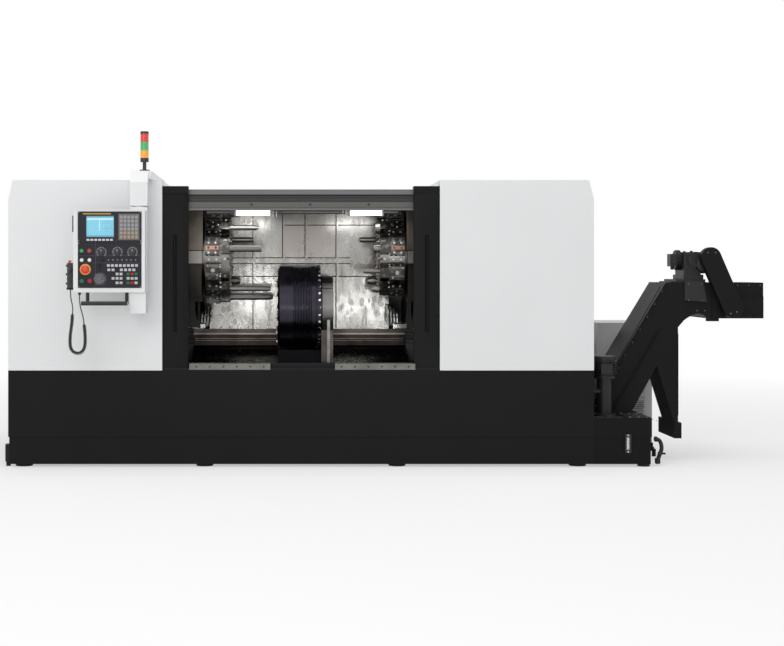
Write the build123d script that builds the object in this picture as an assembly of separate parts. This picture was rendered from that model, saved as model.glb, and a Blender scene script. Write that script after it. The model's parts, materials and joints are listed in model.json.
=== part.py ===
from build123d import *
from math import cos, radians, sin
import os

# Frame: X along the spindle, -Y towards the operator, +Z up, millimetres.
# The origin is the middle of the footprint, on the floor.

# Main body
BASE_LENGTH = 3750
BASE_DEPTH = 1900
BASE_TOP = 618
PLINTH_TOP = 192
PLINTH_SETBACK = 6
PAD_HEIGHT = 18
END_BRACKET = 25
HOUSING_TOP = 1837
HOUSING_SHEET = 4
ROOF_TOP = 1790
OPENING_WIDTH = 1446
DOOR_STRIP = 166
PENDANT_REACH = 330
OVERALL_LENGTH = 4960
RUNNING_GAP = 0.3

LEFT_END = -OVERALL_LENGTH / 2 + END_BRACKET
MIDDLE = LEFT_END + BASE_LENGTH / 2
FRONT = -(BASE_DEPTH + PENDANT_REACH) / 2 + PENDANT_REACH
BACK = FRONT + BASE_DEPTH
HALF_BASE = BASE_LENGTH / 2
HALF_OPENING = OPENING_WIDTH / 2
HOUSING_INNER = HALF_OPENING + DOOR_STRIP

# Doors
DOOR_WIDTH = 765
DOOR_THICKNESS = 38
DOOR_TOP = 1799
DOOR_FRONT = FRONT + 16
DOOR_BACK = DOOR_FRONT + DOOR_THICKNESS
TRACK_FLOOR = BASE_TOP + 6
DOOR_BOTTOM = TRACK_FLOOR + RUNNING_GAP
WINDOW_MARGIN = 75
WINDOW_BOTTOM = 800
WINDOW_TOP = 1690
PANE_THICKNESS = 8
PANE_LAP = 12
GRIP_OFFSET = 84
GRIP_WIDTH = 26
GRIP_BOTTOM = 864
GRIP_TOP = 1485
GRIP_DEPTH = 16

# Header beam over the opening
HEADER_FRONT = FRONT + 62
HEADER_DEPTH = 44
HEADER_BACK = HEADER_FRONT + HEADER_DEPTH
HEADER_BOTTOM = 1646
HEADER_TOP = 1780
HEADER_HALF = 1560

# Sill and chip tray
SILL_FRONT = DOOR_BACK + 4
SILL_DEPTH = 6
SILL_TOP = 663
TRAY_SHEET = 4
TRAY_LOW = 470
TRAY_LOW_Y = FRONT + 260
TRAY_BACK_TOP = 735
POCKET_HALF = 738

# Bed and rails
BED_FRONT = FRONT + 920
BED_DEPTH = 640
BED_TOP = 850
BED_HALF = 1800
RAIL_WIDTH = 35
RAIL_HEIGHT = 30
RAIL_Y = (BED_FRONT + 110, BED_FRONT + 530)
RAIL_START = 662

# Back wall of the work area
WALL_FRONT = BED_FRONT + 14
WALL_SHEET = 4
WALL_HALF = 625
WALL_TOP = ROOF_TOP - 6

# Centre spindle
SPINDLE_Y = FRONT + 590
SPINDLE_Z = 1013
DRUM_RADIUS = 275
DRUM_LEFT = MIDDLE - 149
DRUM_LENGTH = 286
DRUM_RIGHT = DRUM_LEFT + DRUM_LENGTH
DRUM_BORE = 210
NOSE_THICKNESS = 39
NOSE_BORE = 110
SLEEVE_RADIUS = 160
SLEEVE_BORE = 115
BEARING_WIDTH = 40
BEARING_GAP = 0.05
GROOVE_COUNT = 6
GROOVE_PITCH = 21
GROOVE_DEPTH = 7
INDEX_TEETH = 48
INDEX_RADIUS = 281
INDEX_WIDTH = 26
COLLET_BORE = 62

# Turrets
DISC_RADIUS = 250
STATIONS = 12
TOOL_CIRCLE = 288
DISC_THICKNESS = 105
PLATE_THICKNESS = 58
TURRET_Z = 1363
LEFT_FACE = 471
RIGHT_FACE = 530
HOLDER_WIDTH = 92
HOLDER_HEIGHT = 74
TIP_LENGTH = 24

# Slides and carriages, with distances from the outer face of the disc
COLUMN_FRONT = BED_FRONT + 30
COLUMN_DEPTH = 520
COLUMN_TOP = 1700
SADDLE_BOTTOM = BED_TOP + RAIL_HEIGHT + RUNNING_GAP
SADDLE_HEIGHT = 80
CARRIAGE_INSET = 60
CARRIAGE_LENGTH = 560

# Coolant tank at the right end
TANK_LENGTH = 371
TANK_DEPTH = 860
TANK_TOP = 314
TANK_LEFT = LEFT_END + BASE_LENGTH
TANK_RIGHT = TANK_LEFT + TANK_LENGTH

# Chip conveyor
CONVEYOR_FRONT = FRONT + 330
CONVEYOR_WIDTH = 450
CONVEYOR_BACK = CONVEYOR_FRONT + CONVEYOR_WIDTH
CONVEYOR_FOOT = 1310
CONVEYOR_BEND = 1832
CONVEYOR_HEAD = 2111
CONVEYOR_TOP = 1178
CONVEYOR_SHEET = 6
CHUTE_BOTTOM = 941
CHUTE_END = OVERALL_LENGTH / 2
HEAD_SHAFT_X = 2262
HEAD_SHAFT_Z = 1078
HEAD_SHAFT_RADIUS = 25
SPROCKET_RADIUS = 67
BELT_END = HEAD_SHAFT_X + SPROCKET_RADIUS + 36

# Unit cabinet behind the conveyor
CABINET_LEFT = 1517
CABINET_WIDTH = 387
CABINET_FRONT = FRONT + 1000
CABINET_DEPTH = 600
CABINET_TOP = 890

# Pendant and its arm
PENDANT_LEFT = -2004
PENDANT_WIDTH = 446
PENDANT_BOTTOM = 1121
PENDANT_HEIGHT = 518
PENDANT_FRONT = FRONT - 250
PENDANT_THICKNESS = 100
PENDANT_BACK = PENDANT_FRONT + PENDANT_THICKNESS
PANEL_SHEET = 5
HANDLE_RADIUS = 13
HANDLE_Z = 1054
PIVOT_X = -1606
PIVOT_Y = FRONT - 98
COLUMN_HALF = 52
ARM_TOP = 1891
PIVOT_Z = 1658
PIVOT_PIN = 22
TOWER_X = -1577
TOWER_RADIUS = 27


def block(x0, x1, y0, y1, z0, z1):
    """A box between two corners."""
    return Pos((x0 + x1) / 2, (y0 + y1) / 2, (z0 + z1) / 2) * Box(abs(x1 - x0), abs(y1 - y0), abs(z1 - z0))


def rod_x(x0, x1, y, z, radius):
    """A cylinder along X."""
    return Pos((x0 + x1) / 2, y, z) * Rot(0, 90, 0) * Cylinder(radius, abs(x1 - x0))


def rod_y(y0, y1, x, z, radius):
    """A cylinder along Y."""
    return Pos(x, (y0 + y1) / 2, z) * Rot(90, 0, 0) * Cylinder(radius, abs(y1 - y0))


def rod_z(z0, z1, x, y, radius):
    """A cylinder along Z."""
    return Pos(x, y, (z0 + z1) / 2) * Cylinder(radius, abs(z1 - z0))


def pipe_x(x0, x1, y, z, outer, inner):
    """A ring along X."""
    return rod_x(x0, x1, y, z, outer) - rod_x(x0 - 1, x1 + 1, y, z, inner)


def side_profile(points, x0, x1):
    """A closed outline in Y and Z, carried along X."""
    face = make_face(Polyline([(0, y, z) for y, z in points], close=True))
    return Pos(x0, 0, 0) * extrude(face, x1 - x0, dir=(1, 0, 0))


def front_profile(points, y0, y1):
    """A closed outline in X and Z, carried along Y."""
    face = make_face(Polyline([(x, 0, z) for x, z in points], close=True))
    return Pos(0, y0, 0) * extrude(face, y1 - y0, dir=(0, 1, 0))


def across(side, inner, outer):
    """The two X values of a stretch measured outwards from the middle of the machine, lowest first."""
    a, b = MIDDLE + side * inner, MIDDLE + side * outer
    return min(a, b), max(a, b)


def save(name, *solids):
    """Write one sub-part, as one solid or a group of separate ones."""
    shape = solids[0] if len(solids) == 1 else Compound(children=list(solids))
    export_step(shape, f"parts/{name}.step")


# Base, feet, tank


def base():
    """The welded base: a plinth, a wider body above the crease, and the chip pocket in its top."""
    left, right = across(1, -HALF_BASE, HALF_BASE)
    body = block(left, right, FRONT, BACK, PLINTH_TOP, BASE_TOP)
    plinth = block(
        left + PLINTH_SETBACK, right, FRONT + PLINTH_SETBACK, BACK - PLINTH_SETBACK, PAD_HEIGHT, PLINTH_TOP
    )
    pocket_left, pocket_right = across(1, -POCKET_HALF, POCKET_HALF)
    pocket = block(pocket_left, pocket_right, SILL_FRONT + SILL_DEPTH, BED_FRONT, TRAY_LOW - TRAY_SHEET, BASE_TOP + 1)
    edge = body.edges().filter_by(Axis.X).sort_by(Axis.Z)[-2:].sort_by(Axis.Y)[0]
    return chamfer(edge, 3) + plinth - pocket


def levelling_feet():
    """Round pads under the plinth and bolted brackets on its ends."""
    pads = []
    for x in (LEFT_END + 90, MIDDLE - 620, MIDDLE + 620, TANK_LEFT - 90):
        for y in (FRONT + 90, BACK - 90):
            pads.append(rod_z(0, PAD_HEIGHT, x, y, 55))
    for y in (FRONT + 60, FRONT + TANK_DEPTH - 80):
        pads.append(rod_z(0, PAD_HEIGHT, TANK_RIGHT - 40, y, 40))
    for y in (FRONT + 40, BACK - 100):
        edge = LEFT_END + PLINTH_SETBACK
        bracket = block(edge - 31, edge, y, y + 60, PAD_HEIGHT + 12, 141)
        pads.append(bracket + rod_z(0, PAD_HEIGHT + 12, edge - 15.5, y + 30, 15))
    return pads


def tank():
    """The coolant tank beside the base, with its lid opening for the pump and the conveyor."""
    front = FRONT + PLINTH_SETBACK
    body = block(TANK_LEFT, TANK_RIGHT, FRONT, FRONT + TANK_DEPTH, PLINTH_TOP, TANK_TOP)
    body += block(TANK_LEFT, TANK_RIGHT - PLINTH_SETBACK, front, FRONT + TANK_DEPTH - 6, PAD_HEIGHT, PLINTH_TOP)
    drain = rod_x(TANK_RIGHT - PLINTH_SETBACK, TANK_RIGHT + 26, FRONT + 60, 110, 14)
    handle = rod_z(110, 150, TANK_RIGHT + 14, FRONT + 60, 7)
    spout = rod_z(62, 110, TANK_RIGHT + 26, FRONT + 60, 13)
    return body + drain + handle + spout


def level_gauge():
    """The sight gauge on the front of the tank, with its frame and glass."""
    x, low, high = 1512, 90, 211
    frame = block(x - 19, x + 19, FRONT - 9, FRONT, low, high)
    frame += block(x - 19, x + 19, FRONT, FRONT + PLINTH_SETBACK, low, PLINTH_TOP)
    slot = block(x - 9, x + 9, FRONT - 10, FRONT - 3, low + 16, high - 16)
    return frame - slot


# Enclosure


def front_steps(count, top, front):
    """The outline points of folded steps down the front of a housing, from the top."""
    points = []
    for i in range(count):
        inset = 2 * (count - i)
        points += [(front + inset, top - 19 * i), (front + inset, top - 19 * (i + 1))]
    return points


def housing(side):
    """A white side housing: one folded shell, open below and towards the work area."""
    x0, x1 = across(side, HOUSING_INNER, HALF_BASE)
    t = HOUSING_SHEET
    steps = 4 if side > 0 else 1
    outline = front_steps(steps, HOUSING_TOP, FRONT) + [(FRONT, HOUSING_TOP - 19 * steps)]
    outer = side_profile(outline + [(FRONT, BASE_TOP), (BACK, BASE_TOP), (BACK, HOUSING_TOP)], x0, x1)
    inside = [(y + t, z - t) for y, z in outline]
    back = BACK - t
    cavity_points = inside + [(FRONT + t, BASE_TOP - 1), (back, BASE_TOP - 1), (back, HOUSING_TOP - t)]
    cavity = side_profile(cavity_points, *across(side, HOUSING_INNER - 1, HALF_BASE - t))
    lean = 29
    end = MIDDLE + side * HALF_BASE
    wedge_out = [(end + side, HOUSING_TOP - 128), (end + side, HOUSING_TOP + 1), (end - side * lean, HOUSING_TOP + 1)]
    wedge_out.append((end - side * lean, HOUSING_TOP))
    wedge_out.append((end, HOUSING_TOP - 128))
    wedge = front_profile(wedge_out, FRONT - 1, BACK + 1)
    inner_end = end - side * (t + 1)
    low, high = HOUSING_TOP - 128, HOUSING_TOP - t
    fill = [(inner_end, low), (end - side * t, low), (end - side * t, high), (end - side * (lean + 5), high)]
    patch = front_profile(fill, FRONT + 30, back)
    rounded = outer - wedge
    shell = rounded - cavity + (patch & rounded)
    x0, x1 = across(side, HOUSING_INNER, HOUSING_INNER + t)
    shell += block(x0, x1, FRONT + 12, back, DOOR_TOP + 3, HOUSING_TOP - t + 1)
    return shell + block(x0, x1, HEADER_BACK + 2, back, ROOF_TOP, HOUSING_TOP - t + 1)


def roof_and_rear():
    """The folded cover over the middle and down the back."""
    x0, x1 = across(1, -HOUSING_INNER, HOUSING_INNER)
    t = HOUSING_SHEET
    y1 = HEADER_BACK
    line = [
        (y1, HEADER_TOP), (y1 + 180, ROOF_TOP), (BACK, ROOF_TOP), (BACK, BASE_TOP), (BACK - t, BASE_TOP),
        (BACK - t, ROOF_TOP - t), (y1 + 180, ROOF_TOP - t), (y1, HEADER_TOP - t),
    ]
    cover = side_profile(line, x0, x1)
    ribs = [block(x - 15, x + 15, y1 + 200, BACK - t, ROOF_TOP - t - 12, ROOF_TOP - t) for x in (x0 + 20, x1 - 20)]
    seams = [block(x - 2, x + 2, BACK - 1.5, BACK + 1, BASE_TOP + 20, ROOF_TOP - 30) for x in (MIDDLE - 300, MIDDLE + 300)]
    return cover + ribs - seams


def header():
    """The beam over the opening: cap, bars, screwed fascia and a lower lip."""
    x0, x1 = across(1, -HEADER_HALF, HEADER_HALF)
    beam = block(x0, x1, HEADER_FRONT, HEADER_BACK, HEADER_BOTTOM + 16, HEADER_TOP)
    lip = block(x0, x1, HEADER_FRONT - 4, HEADER_BACK, HEADER_BOTTOM, HEADER_BOTTOM + 13)
    beam += lip + block(x0, x1, HEADER_FRONT + 4, HEADER_BACK, HEADER_BOTTOM + 13, HEADER_BOTTOM + 16)
    for z, height in ((1700, 4), (1718, 4), (1738, 7)):
        beam -= block(x0 - 1, x1 + 1, HEADER_FRONT - 1, HEADER_FRONT + 5, z, z + height)
    half = HALF_OPENING + 60
    for i in range(9):
        x = MIDDLE - half + (i + 0.5) * 2 * half / 9
        beam += rod_y(HEADER_FRONT - 3, HEADER_FRONT + 1, x, 1682, 5)
    return beam


def ceiling():
    """The inner ceiling sheet over the front of the work area, with the four lamp brackets."""
    x0, x1 = across(1, -HOUSING_INNER + 1, HOUSING_INNER - 1)
    z = 1706
    sheet = block(x0, x1, HEADER_BACK, HEADER_BACK + 140, z, z + 3)
    rise = (ROOF_TOP - HEADER_TOP) * 137 / 180
    sheet += block(x0, x1, HEADER_BACK + 137, HEADER_BACK + 140, z, HEADER_TOP - HOUSING_SHEET + rise - RUNNING_GAP)
    for u0, u1 in LAMPS:
        for u in (u0 - 12, u1):
            sheet += block(MIDDLE + u, MIDDLE + u + 12, LAMP_Y - 26, LAMP_Y + 26, 1612, z)
    return sheet


LAMPS = ((-422, -200), (322, 531))
LAMP_Y = FRONT + 205
LAMP_Z = 1640
LAMP_RADIUS = 24


def lamp_tubes():
    """Two sealed tube lamps between their brackets."""
    return [rod_x(MIDDLE + u0, MIDDLE + u1, LAMP_Y, LAMP_Z, LAMP_RADIUS) for u0, u1 in LAMPS]


def door_track():
    """The bottom track of the doors: a channel on the base."""
    x0, x1 = across(1, -HEADER_HALF, HEADER_HALF)
    top = TRACK_FLOOR + 9
    channel = block(x0, x1, DOOR_FRONT - 4, SILL_FRONT, BASE_TOP, top)
    groove = block(x0 - 1, x1 + 1, DOOR_FRONT - RUNNING_GAP, DOOR_BACK + RUNNING_GAP, TRACK_FLOOR, top + 1)
    return channel - groove


def sill():
    """The stainless lip behind the doors, with its screws."""
    x0, x1 = across(1, -HOUSING_INNER + 1, HOUSING_INNER - 1)
    lip = block(x0, x1, SILL_FRONT, SILL_FRONT + SILL_DEPTH, BASE_TOP, SILL_TOP)
    for i in range(11):
        x = x0 + 120 + i * (x1 - x0 - 240) / 10
        lip += rod_y(SILL_FRONT - 3, SILL_FRONT + 1, x, SILL_TOP - 14, 6)
    return lip


def chip_tray():
    """The sloped sheet that lets chips fall to the conveyor."""
    x0, x1 = across(1, -POCKET_HALF, POCKET_HALF)
    y0 = SILL_FRONT + SILL_DEPTH
    t = TRAY_SHEET
    line = [
        (y0, SILL_TOP - 8), (y0 + 12, SILL_TOP - 8), (TRAY_LOW_Y, TRAY_LOW), (BED_FRONT, TRAY_BACK_TOP),
        (BED_FRONT, TRAY_BACK_TOP - 6), (TRAY_LOW_Y, TRAY_LOW - t), (y0, SILL_TOP - 20),
    ]
    return side_profile(line, x0, x1) - pedestal_block(RUNNING_GAP, SILL_TOP + 200)


def back_wall():
    """The stainless sheets of the back wall, each with folded edges, between roof and bed."""
    seams = (-WALL_HALF, -320, -110, 50, 255, WALL_HALF)
    panels = []
    for i, (a, b) in enumerate(zip(seams, seams[1:])):
        front = WALL_FRONT + (i % 2) * WALL_SHEET
        x0, x1 = MIDDLE + a, MIDDLE + b
        lap = 14 if i % 2 else 0
        panel = block(x0 - lap, x1 + lap, front, front + WALL_SHEET, BED_TOP, WALL_TOP)
        panel += block(x0 + 2, x1 - 2, front - 5, front, 1303, 1324)
        panel += block(x0 + 2, x1 - 2, front - 3, front, 1208, 1214)
        panels.append(panel)
    return panels


# Bed and headstock


def bed():
    """The cast bed beam behind the work area, with its stepped front and feet."""
    x0, x1 = across(1, -BED_HALF, BED_HALF)
    back = BED_FRONT + BED_DEPTH
    outline = [
        (BED_FRONT, BASE_TOP), (BED_FRONT, 748), (BED_FRONT + 8, 752), (BED_FRONT + 8, 778), (BED_FRONT, 782),
        (BED_FRONT, 800), (BED_FRONT - 10, 800), (BED_FRONT - 10, 822), (BED_FRONT + 10, 826),
        (BED_FRONT + 10, BED_TOP), (back, BED_TOP), (back, BASE_TOP),
    ]
    beam = side_profile(outline, x0, x1)
    for i in range(6):
        x = x0 + 300 + i * (x1 - x0 - 600) / 5
        beam -= block(x - 180, x + 180, back - 60, back + 1, BASE_TOP + 50, BED_TOP - 50)
    return beam


def rails():
    """Profiled rails on the bed, a pair at each end."""
    made = []
    for side in (-1, 1):
        x0, x1 = across(side, RAIL_START, BED_HALF - 20)
        for y in RAIL_Y:
            rail = block(x0, x1, y - RAIL_WIDTH / 2, y + RAIL_WIDTH / 2, BED_TOP, BED_TOP + RAIL_HEIGHT)
            for s in (-1, 1):
                edge = y + s * RAIL_WIDTH / 2
                rail -= block(x0 - 1, x1 + 1, edge - 4, edge + 4, BED_TOP + 12, BED_TOP + 20)
            made.append(rail)
    return made


PEDESTAL_TOP = SPINDLE_Z - DRUM_RADIUS - 12


def pedestal_block(grow=0, top=PEDESTAL_TOP):
    """The foot of the headstock in the tray, larger all round by a gap."""
    return block(
        DRUM_LEFT - grow, DRUM_RIGHT + 84 + grow, SPINDLE_Y - 140 - grow, BED_FRONT, TRAY_LOW - TRAY_SHEET, top
    )


def headstock():
    """The pedestal, the bearing wall beside the drum and the hollow sleeve that carries it, with the stator."""
    wall_left = DRUM_RIGHT + 9
    wall = block(wall_left, wall_left + 75, SPINDLE_Y - 60, BED_FRONT - 12, 700, SPINDLE_Z + 40)
    wall += rod_x(wall_left, wall_left + 75, SPINDLE_Y, SPINDLE_Z, 205)
    wall += block(wall_left, wall_left + 75, SPINDLE_Y, BED_FRONT - 12, SPINDLE_Z, SPINDLE_Z + 205)
    wall += block(wall_left + 10, wall_left + 65, BED_FRONT - 12, WALL_FRONT - 5.3, BED_TOP, SPINDLE_Z + 150)
    sleeve = rod_x(DRUM_LEFT + 46, wall_left + 1, SPINDLE_Y, SPINDLE_Z, SLEEVE_RADIUS)
    stator = rod_x(DRUM_LEFT + 106, DRUM_LEFT + 210, SPINDLE_Y, SPINDLE_Z, SLEEVE_RADIUS + 22)
    bore = rod_x(DRUM_LEFT - 1, wall_left + 80, SPINDLE_Y, SPINDLE_Z, SLEEVE_BORE)
    post = block(wall_left, wall_left + 75, SPINDLE_Y - 140, SPINDLE_Y - 40, TRAY_LOW, 880)
    return pedestal_block() + wall + sleeve + stator + post - bore


def spindle_bearings():
    """Two ring bearings on the sleeve."""
    rings = []
    for x in (DRUM_LEFT + 60, DRUM_LEFT + 216):
        ring = pipe_x(x, x + BEARING_WIDTH, SPINDLE_Y, SPINDLE_Z, DRUM_BORE - BEARING_GAP, SLEEVE_RADIUS)
        for s in (-1, 1):
            edge = x + BEARING_WIDTH / 2 + s * BEARING_WIDTH / 2
            ring -= pipe_x(edge - 4, edge + 4, SPINDLE_Y, SPINDLE_Z, DRUM_BORE - 14, SLEEVE_RADIUS + 14)
        rings.append(ring)
    return rings


def drum():
    """The driven drum: chamfered nose, grooved band, rotor inside and the indexing ring at its right end."""
    r, x0, x1 = DRUM_RADIUS, DRUM_LEFT, DRUM_RIGHT
    line = [(x0, NOSE_BORE), (x0, r - 16), (x0 + 12, r)]
    start = x0 + 104
    for i in range(GROOVE_COUNT):
        x = start + i * GROOVE_PITCH
        line += [(x, r), (x + 4, r - GROOVE_DEPTH), (x + 10, r - GROOVE_DEPTH), (x + 14, r)]
    line += [(x1 - INDEX_WIDTH - 6, r), (x1 - INDEX_WIDTH - 6, r - 8), (x1 - INDEX_WIDTH, r - 8)]
    line += [(x1 - INDEX_WIDTH, r), (x1, r), (x1, DRUM_BORE), (x0 + 204, DRUM_BORE)]
    line += [(x0 + 204, SLEEVE_RADIUS + 23), (x0 + 112, SLEEVE_RADIUS + 23), (x0 + 112, DRUM_BORE)]
    line += [(x0 + NOSE_THICKNESS, DRUM_BORE), (x0 + NOSE_THICKNESS, NOSE_BORE)]
    face = make_face(Polyline([(x, 0, z) for x, z in line], close=True))
    body = Pos(0, SPINDLE_Y, SPINDLE_Z) * revolve(face, Axis.X, 360)
    tooth = block(x1 - INDEX_WIDTH, x1 - 5, -8, 8, r - 3, INDEX_RADIUS)
    teeth = [Pos(0, SPINDLE_Y, SPINDLE_Z) * Rot(i * 360 / INDEX_TEETH, 0, 0) * tooth for i in range(INDEX_TEETH)]
    bolts = []
    for i in range(12):
        a = radians(i * 30)
        y, z = SPINDLE_Y + 165 * cos(a), SPINDLE_Z + 165 * sin(a)
        bolts.append(rod_x(x0 - 6, x0 + 2, y, z, 9))
    return body + teeth + bolts


def collet():
    """The clamping collet in the drum's nose: a slit ring with a tapered mouth."""
    x0, x1 = DRUM_LEFT, DRUM_LEFT + NOSE_THICKNESS - 3
    line = [(x0, COLLET_BORE + 10), (x0, NOSE_BORE - BEARING_GAP), (x1, NOSE_BORE - BEARING_GAP)]
    line += [(x1, COLLET_BORE), (x0 + 12, COLLET_BORE)]
    face = make_face(Polyline([(x, 0, z) for x, z in line], close=True))
    ring = Pos(0, SPINDLE_Y, SPINDLE_Z) * revolve(face, Axis.X, 360)
    slit = block(x0 - 1, x1 - 10, -2, 2, 0, NOSE_BORE - 8)
    for i in range(6):
        ring -= Pos(0, SPINDLE_Y, SPINDLE_Z) * Rot(60 * i, 0, 0) * slit
    return ring


# Turrets, slides and carriages


def turret_face(side):
    """X of the inner face of a turret's plate."""
    return MIDDLE + side * (LEFT_FACE if side < 0 else RIGHT_FACE)


def turret_disc(side):
    """The indexing disc: a many-sided rim with station faces, a round front plate and its bolts."""
    face = turret_face(side)
    back = face + side * (PLATE_THICKNESS + DISC_THICKNESS)
    middle = face + side * PLATE_THICKNESS
    x0, x1 = min(middle, back), max(middle, back)
    rim = Pos((x0 + x1) / 2, SPINDLE_Y, TURRET_Z) * Rot(0, 90, 0) * Rot(0, 0, 15 - FIRST_STATION)
    hexagon = extrude(RegularPolygon(DISC_RADIUS, STATIONS, major_radius=False), (x1 - x0) / 2, both=True)
    disc = rim * hexagon
    front0, front1 = min(face, middle), max(face, middle)
    disc += rod_x(front0, front1, SPINDLE_Y, TURRET_Z, DISC_RADIUS - 14)
    disc -= rod_x(face - 14, face + 14, SPINDLE_Y, TURRET_Z, 120)
    cap = rod_x(min(face - side * 4, face + side * 14), max(face - side * 4, face + side * 14), SPINDLE_Y, TURRET_Z, 96)
    disc += cap
    for i in range(STATIONS):
        a = radians(FIRST_STATION + i * 360 / STATIONS)
        for radius in (150, 235):
            y, z = SPINDLE_Y - radius * cos(a), TURRET_Z + radius * sin(a)
            disc += rod_x(min(face - side * 7, face), max(face - side * 7, face), y, z, 8)
    return disc


FIRST_STATION = 8

# Station angle from the front, how far the tool stands out of the plate, its radius, and its tip radius
LEFT_TOOLS = (
    (38, 190, 17, 12), (8, 215, 23, 22), (-52, 275, 17, 11), (-82, 288, 19, 12),
    (98, 60, 26, 20), (158, 150, 17, 14), (218, 60, 26, 20),
)
RIGHT_TOOLS = (
    (38, 33, 40, 36), (8, 48, 27, 23), (-22, 117, 17, 14), (-52, 49, 26, 20),
    (98, 60, 26, 20), (158, 110, 17, 14), (218, 60, 26, 20),
)


def tools(side):
    """Clamped holder blocks round the disc, each a separate solid, with its bar or drill where it has one."""
    face = turret_face(side)
    held = LEFT_TOOLS if side < 0 else RIGHT_TOOLS
    made = []
    for i in range(STATIONS):
        angle = FIRST_STATION + i * 360 / STATIONS
        near = [t for t in held if abs((t[0] - angle + 180) % 360 - 180) < 1]
        a, b = face + side * (PLATE_THICKNESS + 6), face + side * (PLATE_THICKNESS + DISC_THICKNESS - 6)
        height = HOLDER_HEIGHT if near else HOLDER_HEIGHT * 0.45
        holder = block(a, b, -HOLDER_WIDTH / 2, HOLDER_WIDTH / 2, DISC_RADIUS, DISC_RADIUS + height)
        if near:
            _, reach, radius, tip = near[0]
            clamp_end = face - side * 4
            holder += block(clamp_end, a, -HOLDER_WIDTH / 2 + 12, HOLDER_WIDTH / 2 - 12, DISC_RADIUS, DISC_RADIUS + 68)
            x0, x1 = clamp_end, face - side * (reach - TIP_LENGTH)
            holder += rod_x(min(x0, x1), max(x0, x1), 0, TOOL_CIRCLE, radius)
            end = face - side * reach
            turn = Rot(0, -90 * side, 0)
            holder += Pos((x1 + end) / 2, 0, TOOL_CIRCLE) * turn * Cone(radius, tip, TIP_LENGTH)
        for x in (a + side * 22, b - side * 22):
            holder += Pos(x, 0, DISC_RADIUS + height) * Cylinder(9, 8)
        made.append(Pos(0, SPINDLE_Y, TURRET_Z) * Rot(90 - angle, 0, 0) * holder)
    return made


def slide(side):
    """The cross slide with the turret's gear housing, guards, drive motor and coolant nozzles."""
    outer = LEFT_FACE if side < 0 else RIGHT_FACE
    back_face = outer + PLATE_THICKNESS + DISC_THICKNESS
    near = back_face + RUNNING_GAP
    y_back = COLUMN_FRONT - RUNNING_GAP
    x0, x1 = across(side, near + 14, near + 360)
    body = block(x0, x1, SPINDLE_Y - 200, y_back - 50, 1390, 1690)
    x0, x1 = across(side, near + 18, near + 360)
    body += block(x0, x1, SPINDLE_Y - 240, y_back - 50, 1305, 1390)
    x0, x1 = across(side, near + 22, near + 360)
    body += block(x0, x1, SPINDLE_Y - 190, y_back - 50, 1085, 1305)
    x0, x1 = across(side, near, near + 20)
    body += rod_x(x0, x1, SPINDLE_Y, TURRET_Z, 190)
    x0, x1 = across(side, near + 22, near + 470)
    body += block(x0, x1, y_back - 50, y_back, 1085, 1690)
    x0, x1 = across(side, near + 360, near + 540)
    body += rod_x(x0, x1, SPINDLE_Y, TURRET_Z, 95)
    x0, x1 = across(side, near + 24, near + 84)
    body += block(x0, x1, SPINDLE_Y - 170, SPINDLE_Y + 60, 1050, 1085)
    for i in range(3):
        y = SPINDLE_Y - 150 + i * 44
        x, _ = across(side, near + 44 + i * 10, near + 44 + i * 10)
        body += rod_z(940 + i * 26, 1051, x, y, 8) + rod_z(930 + i * 26, 946 + i * 26, x, y, 12)
    return body


def carriage(side):
    """The longitudinal carriage: a saddle on bearing blocks, with the column that guides the slide."""
    outer = LEFT_FACE if side < 0 else RIGHT_FACE
    start = outer + PLATE_THICKNESS + DISC_THICKNESS + CARRIAGE_INSET
    x0, x1 = across(side, start, start + CARRIAGE_LENGTH)
    y0 = COLUMN_FRONT
    saddle_top = SADDLE_BOTTOM + SADDLE_HEIGHT
    body = block(x0, x1, y0 + 30, y0 + COLUMN_DEPTH, SADDLE_BOTTOM, saddle_top)
    body += block(x0, x1, y0, y0 + 70, saddle_top, COLUMN_TOP)
    rib = [
        (y0 + 69, saddle_top - 1), (y0 + COLUMN_DEPTH, saddle_top - 1), (y0 + COLUMN_DEPTH, saddle_top + 60),
        (y0 + 150, COLUMN_TOP), (y0 + 69, COLUMN_TOP),
    ]
    for x in (x0, x0 + CARRIAGE_LENGTH / 2 - 20, x1 - 40):
        body += side_profile(rib, x, x + 40)
    gap = RUNNING_GAP
    for y in RAIL_Y:
        for x in (x0, x1 - 120):
            shoe = block(x, x + 120, y - 48, y + 48, BED_TOP + 5, SADDLE_BOTTOM + 1)
            half = RAIL_WIDTH / 2 + gap
            shoe -= block(x - 1, x + 121, y - half, y + half, BED_TOP, SADDLE_BOTTOM)
            body += shoe
    return body


# Doors


def door_edges(side):
    """X of a door's leading and trailing edges."""
    lead = MIDDLE + side * HALF_OPENING
    return lead, lead + side * DOOR_WIDTH


def door_opening(side):
    """X of the two upright edges of a door's window."""
    lead, tail = door_edges(side)
    return sorted((lead + side * (DOOR_STRIP + 8), tail - side * WINDOW_MARGIN))


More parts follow.
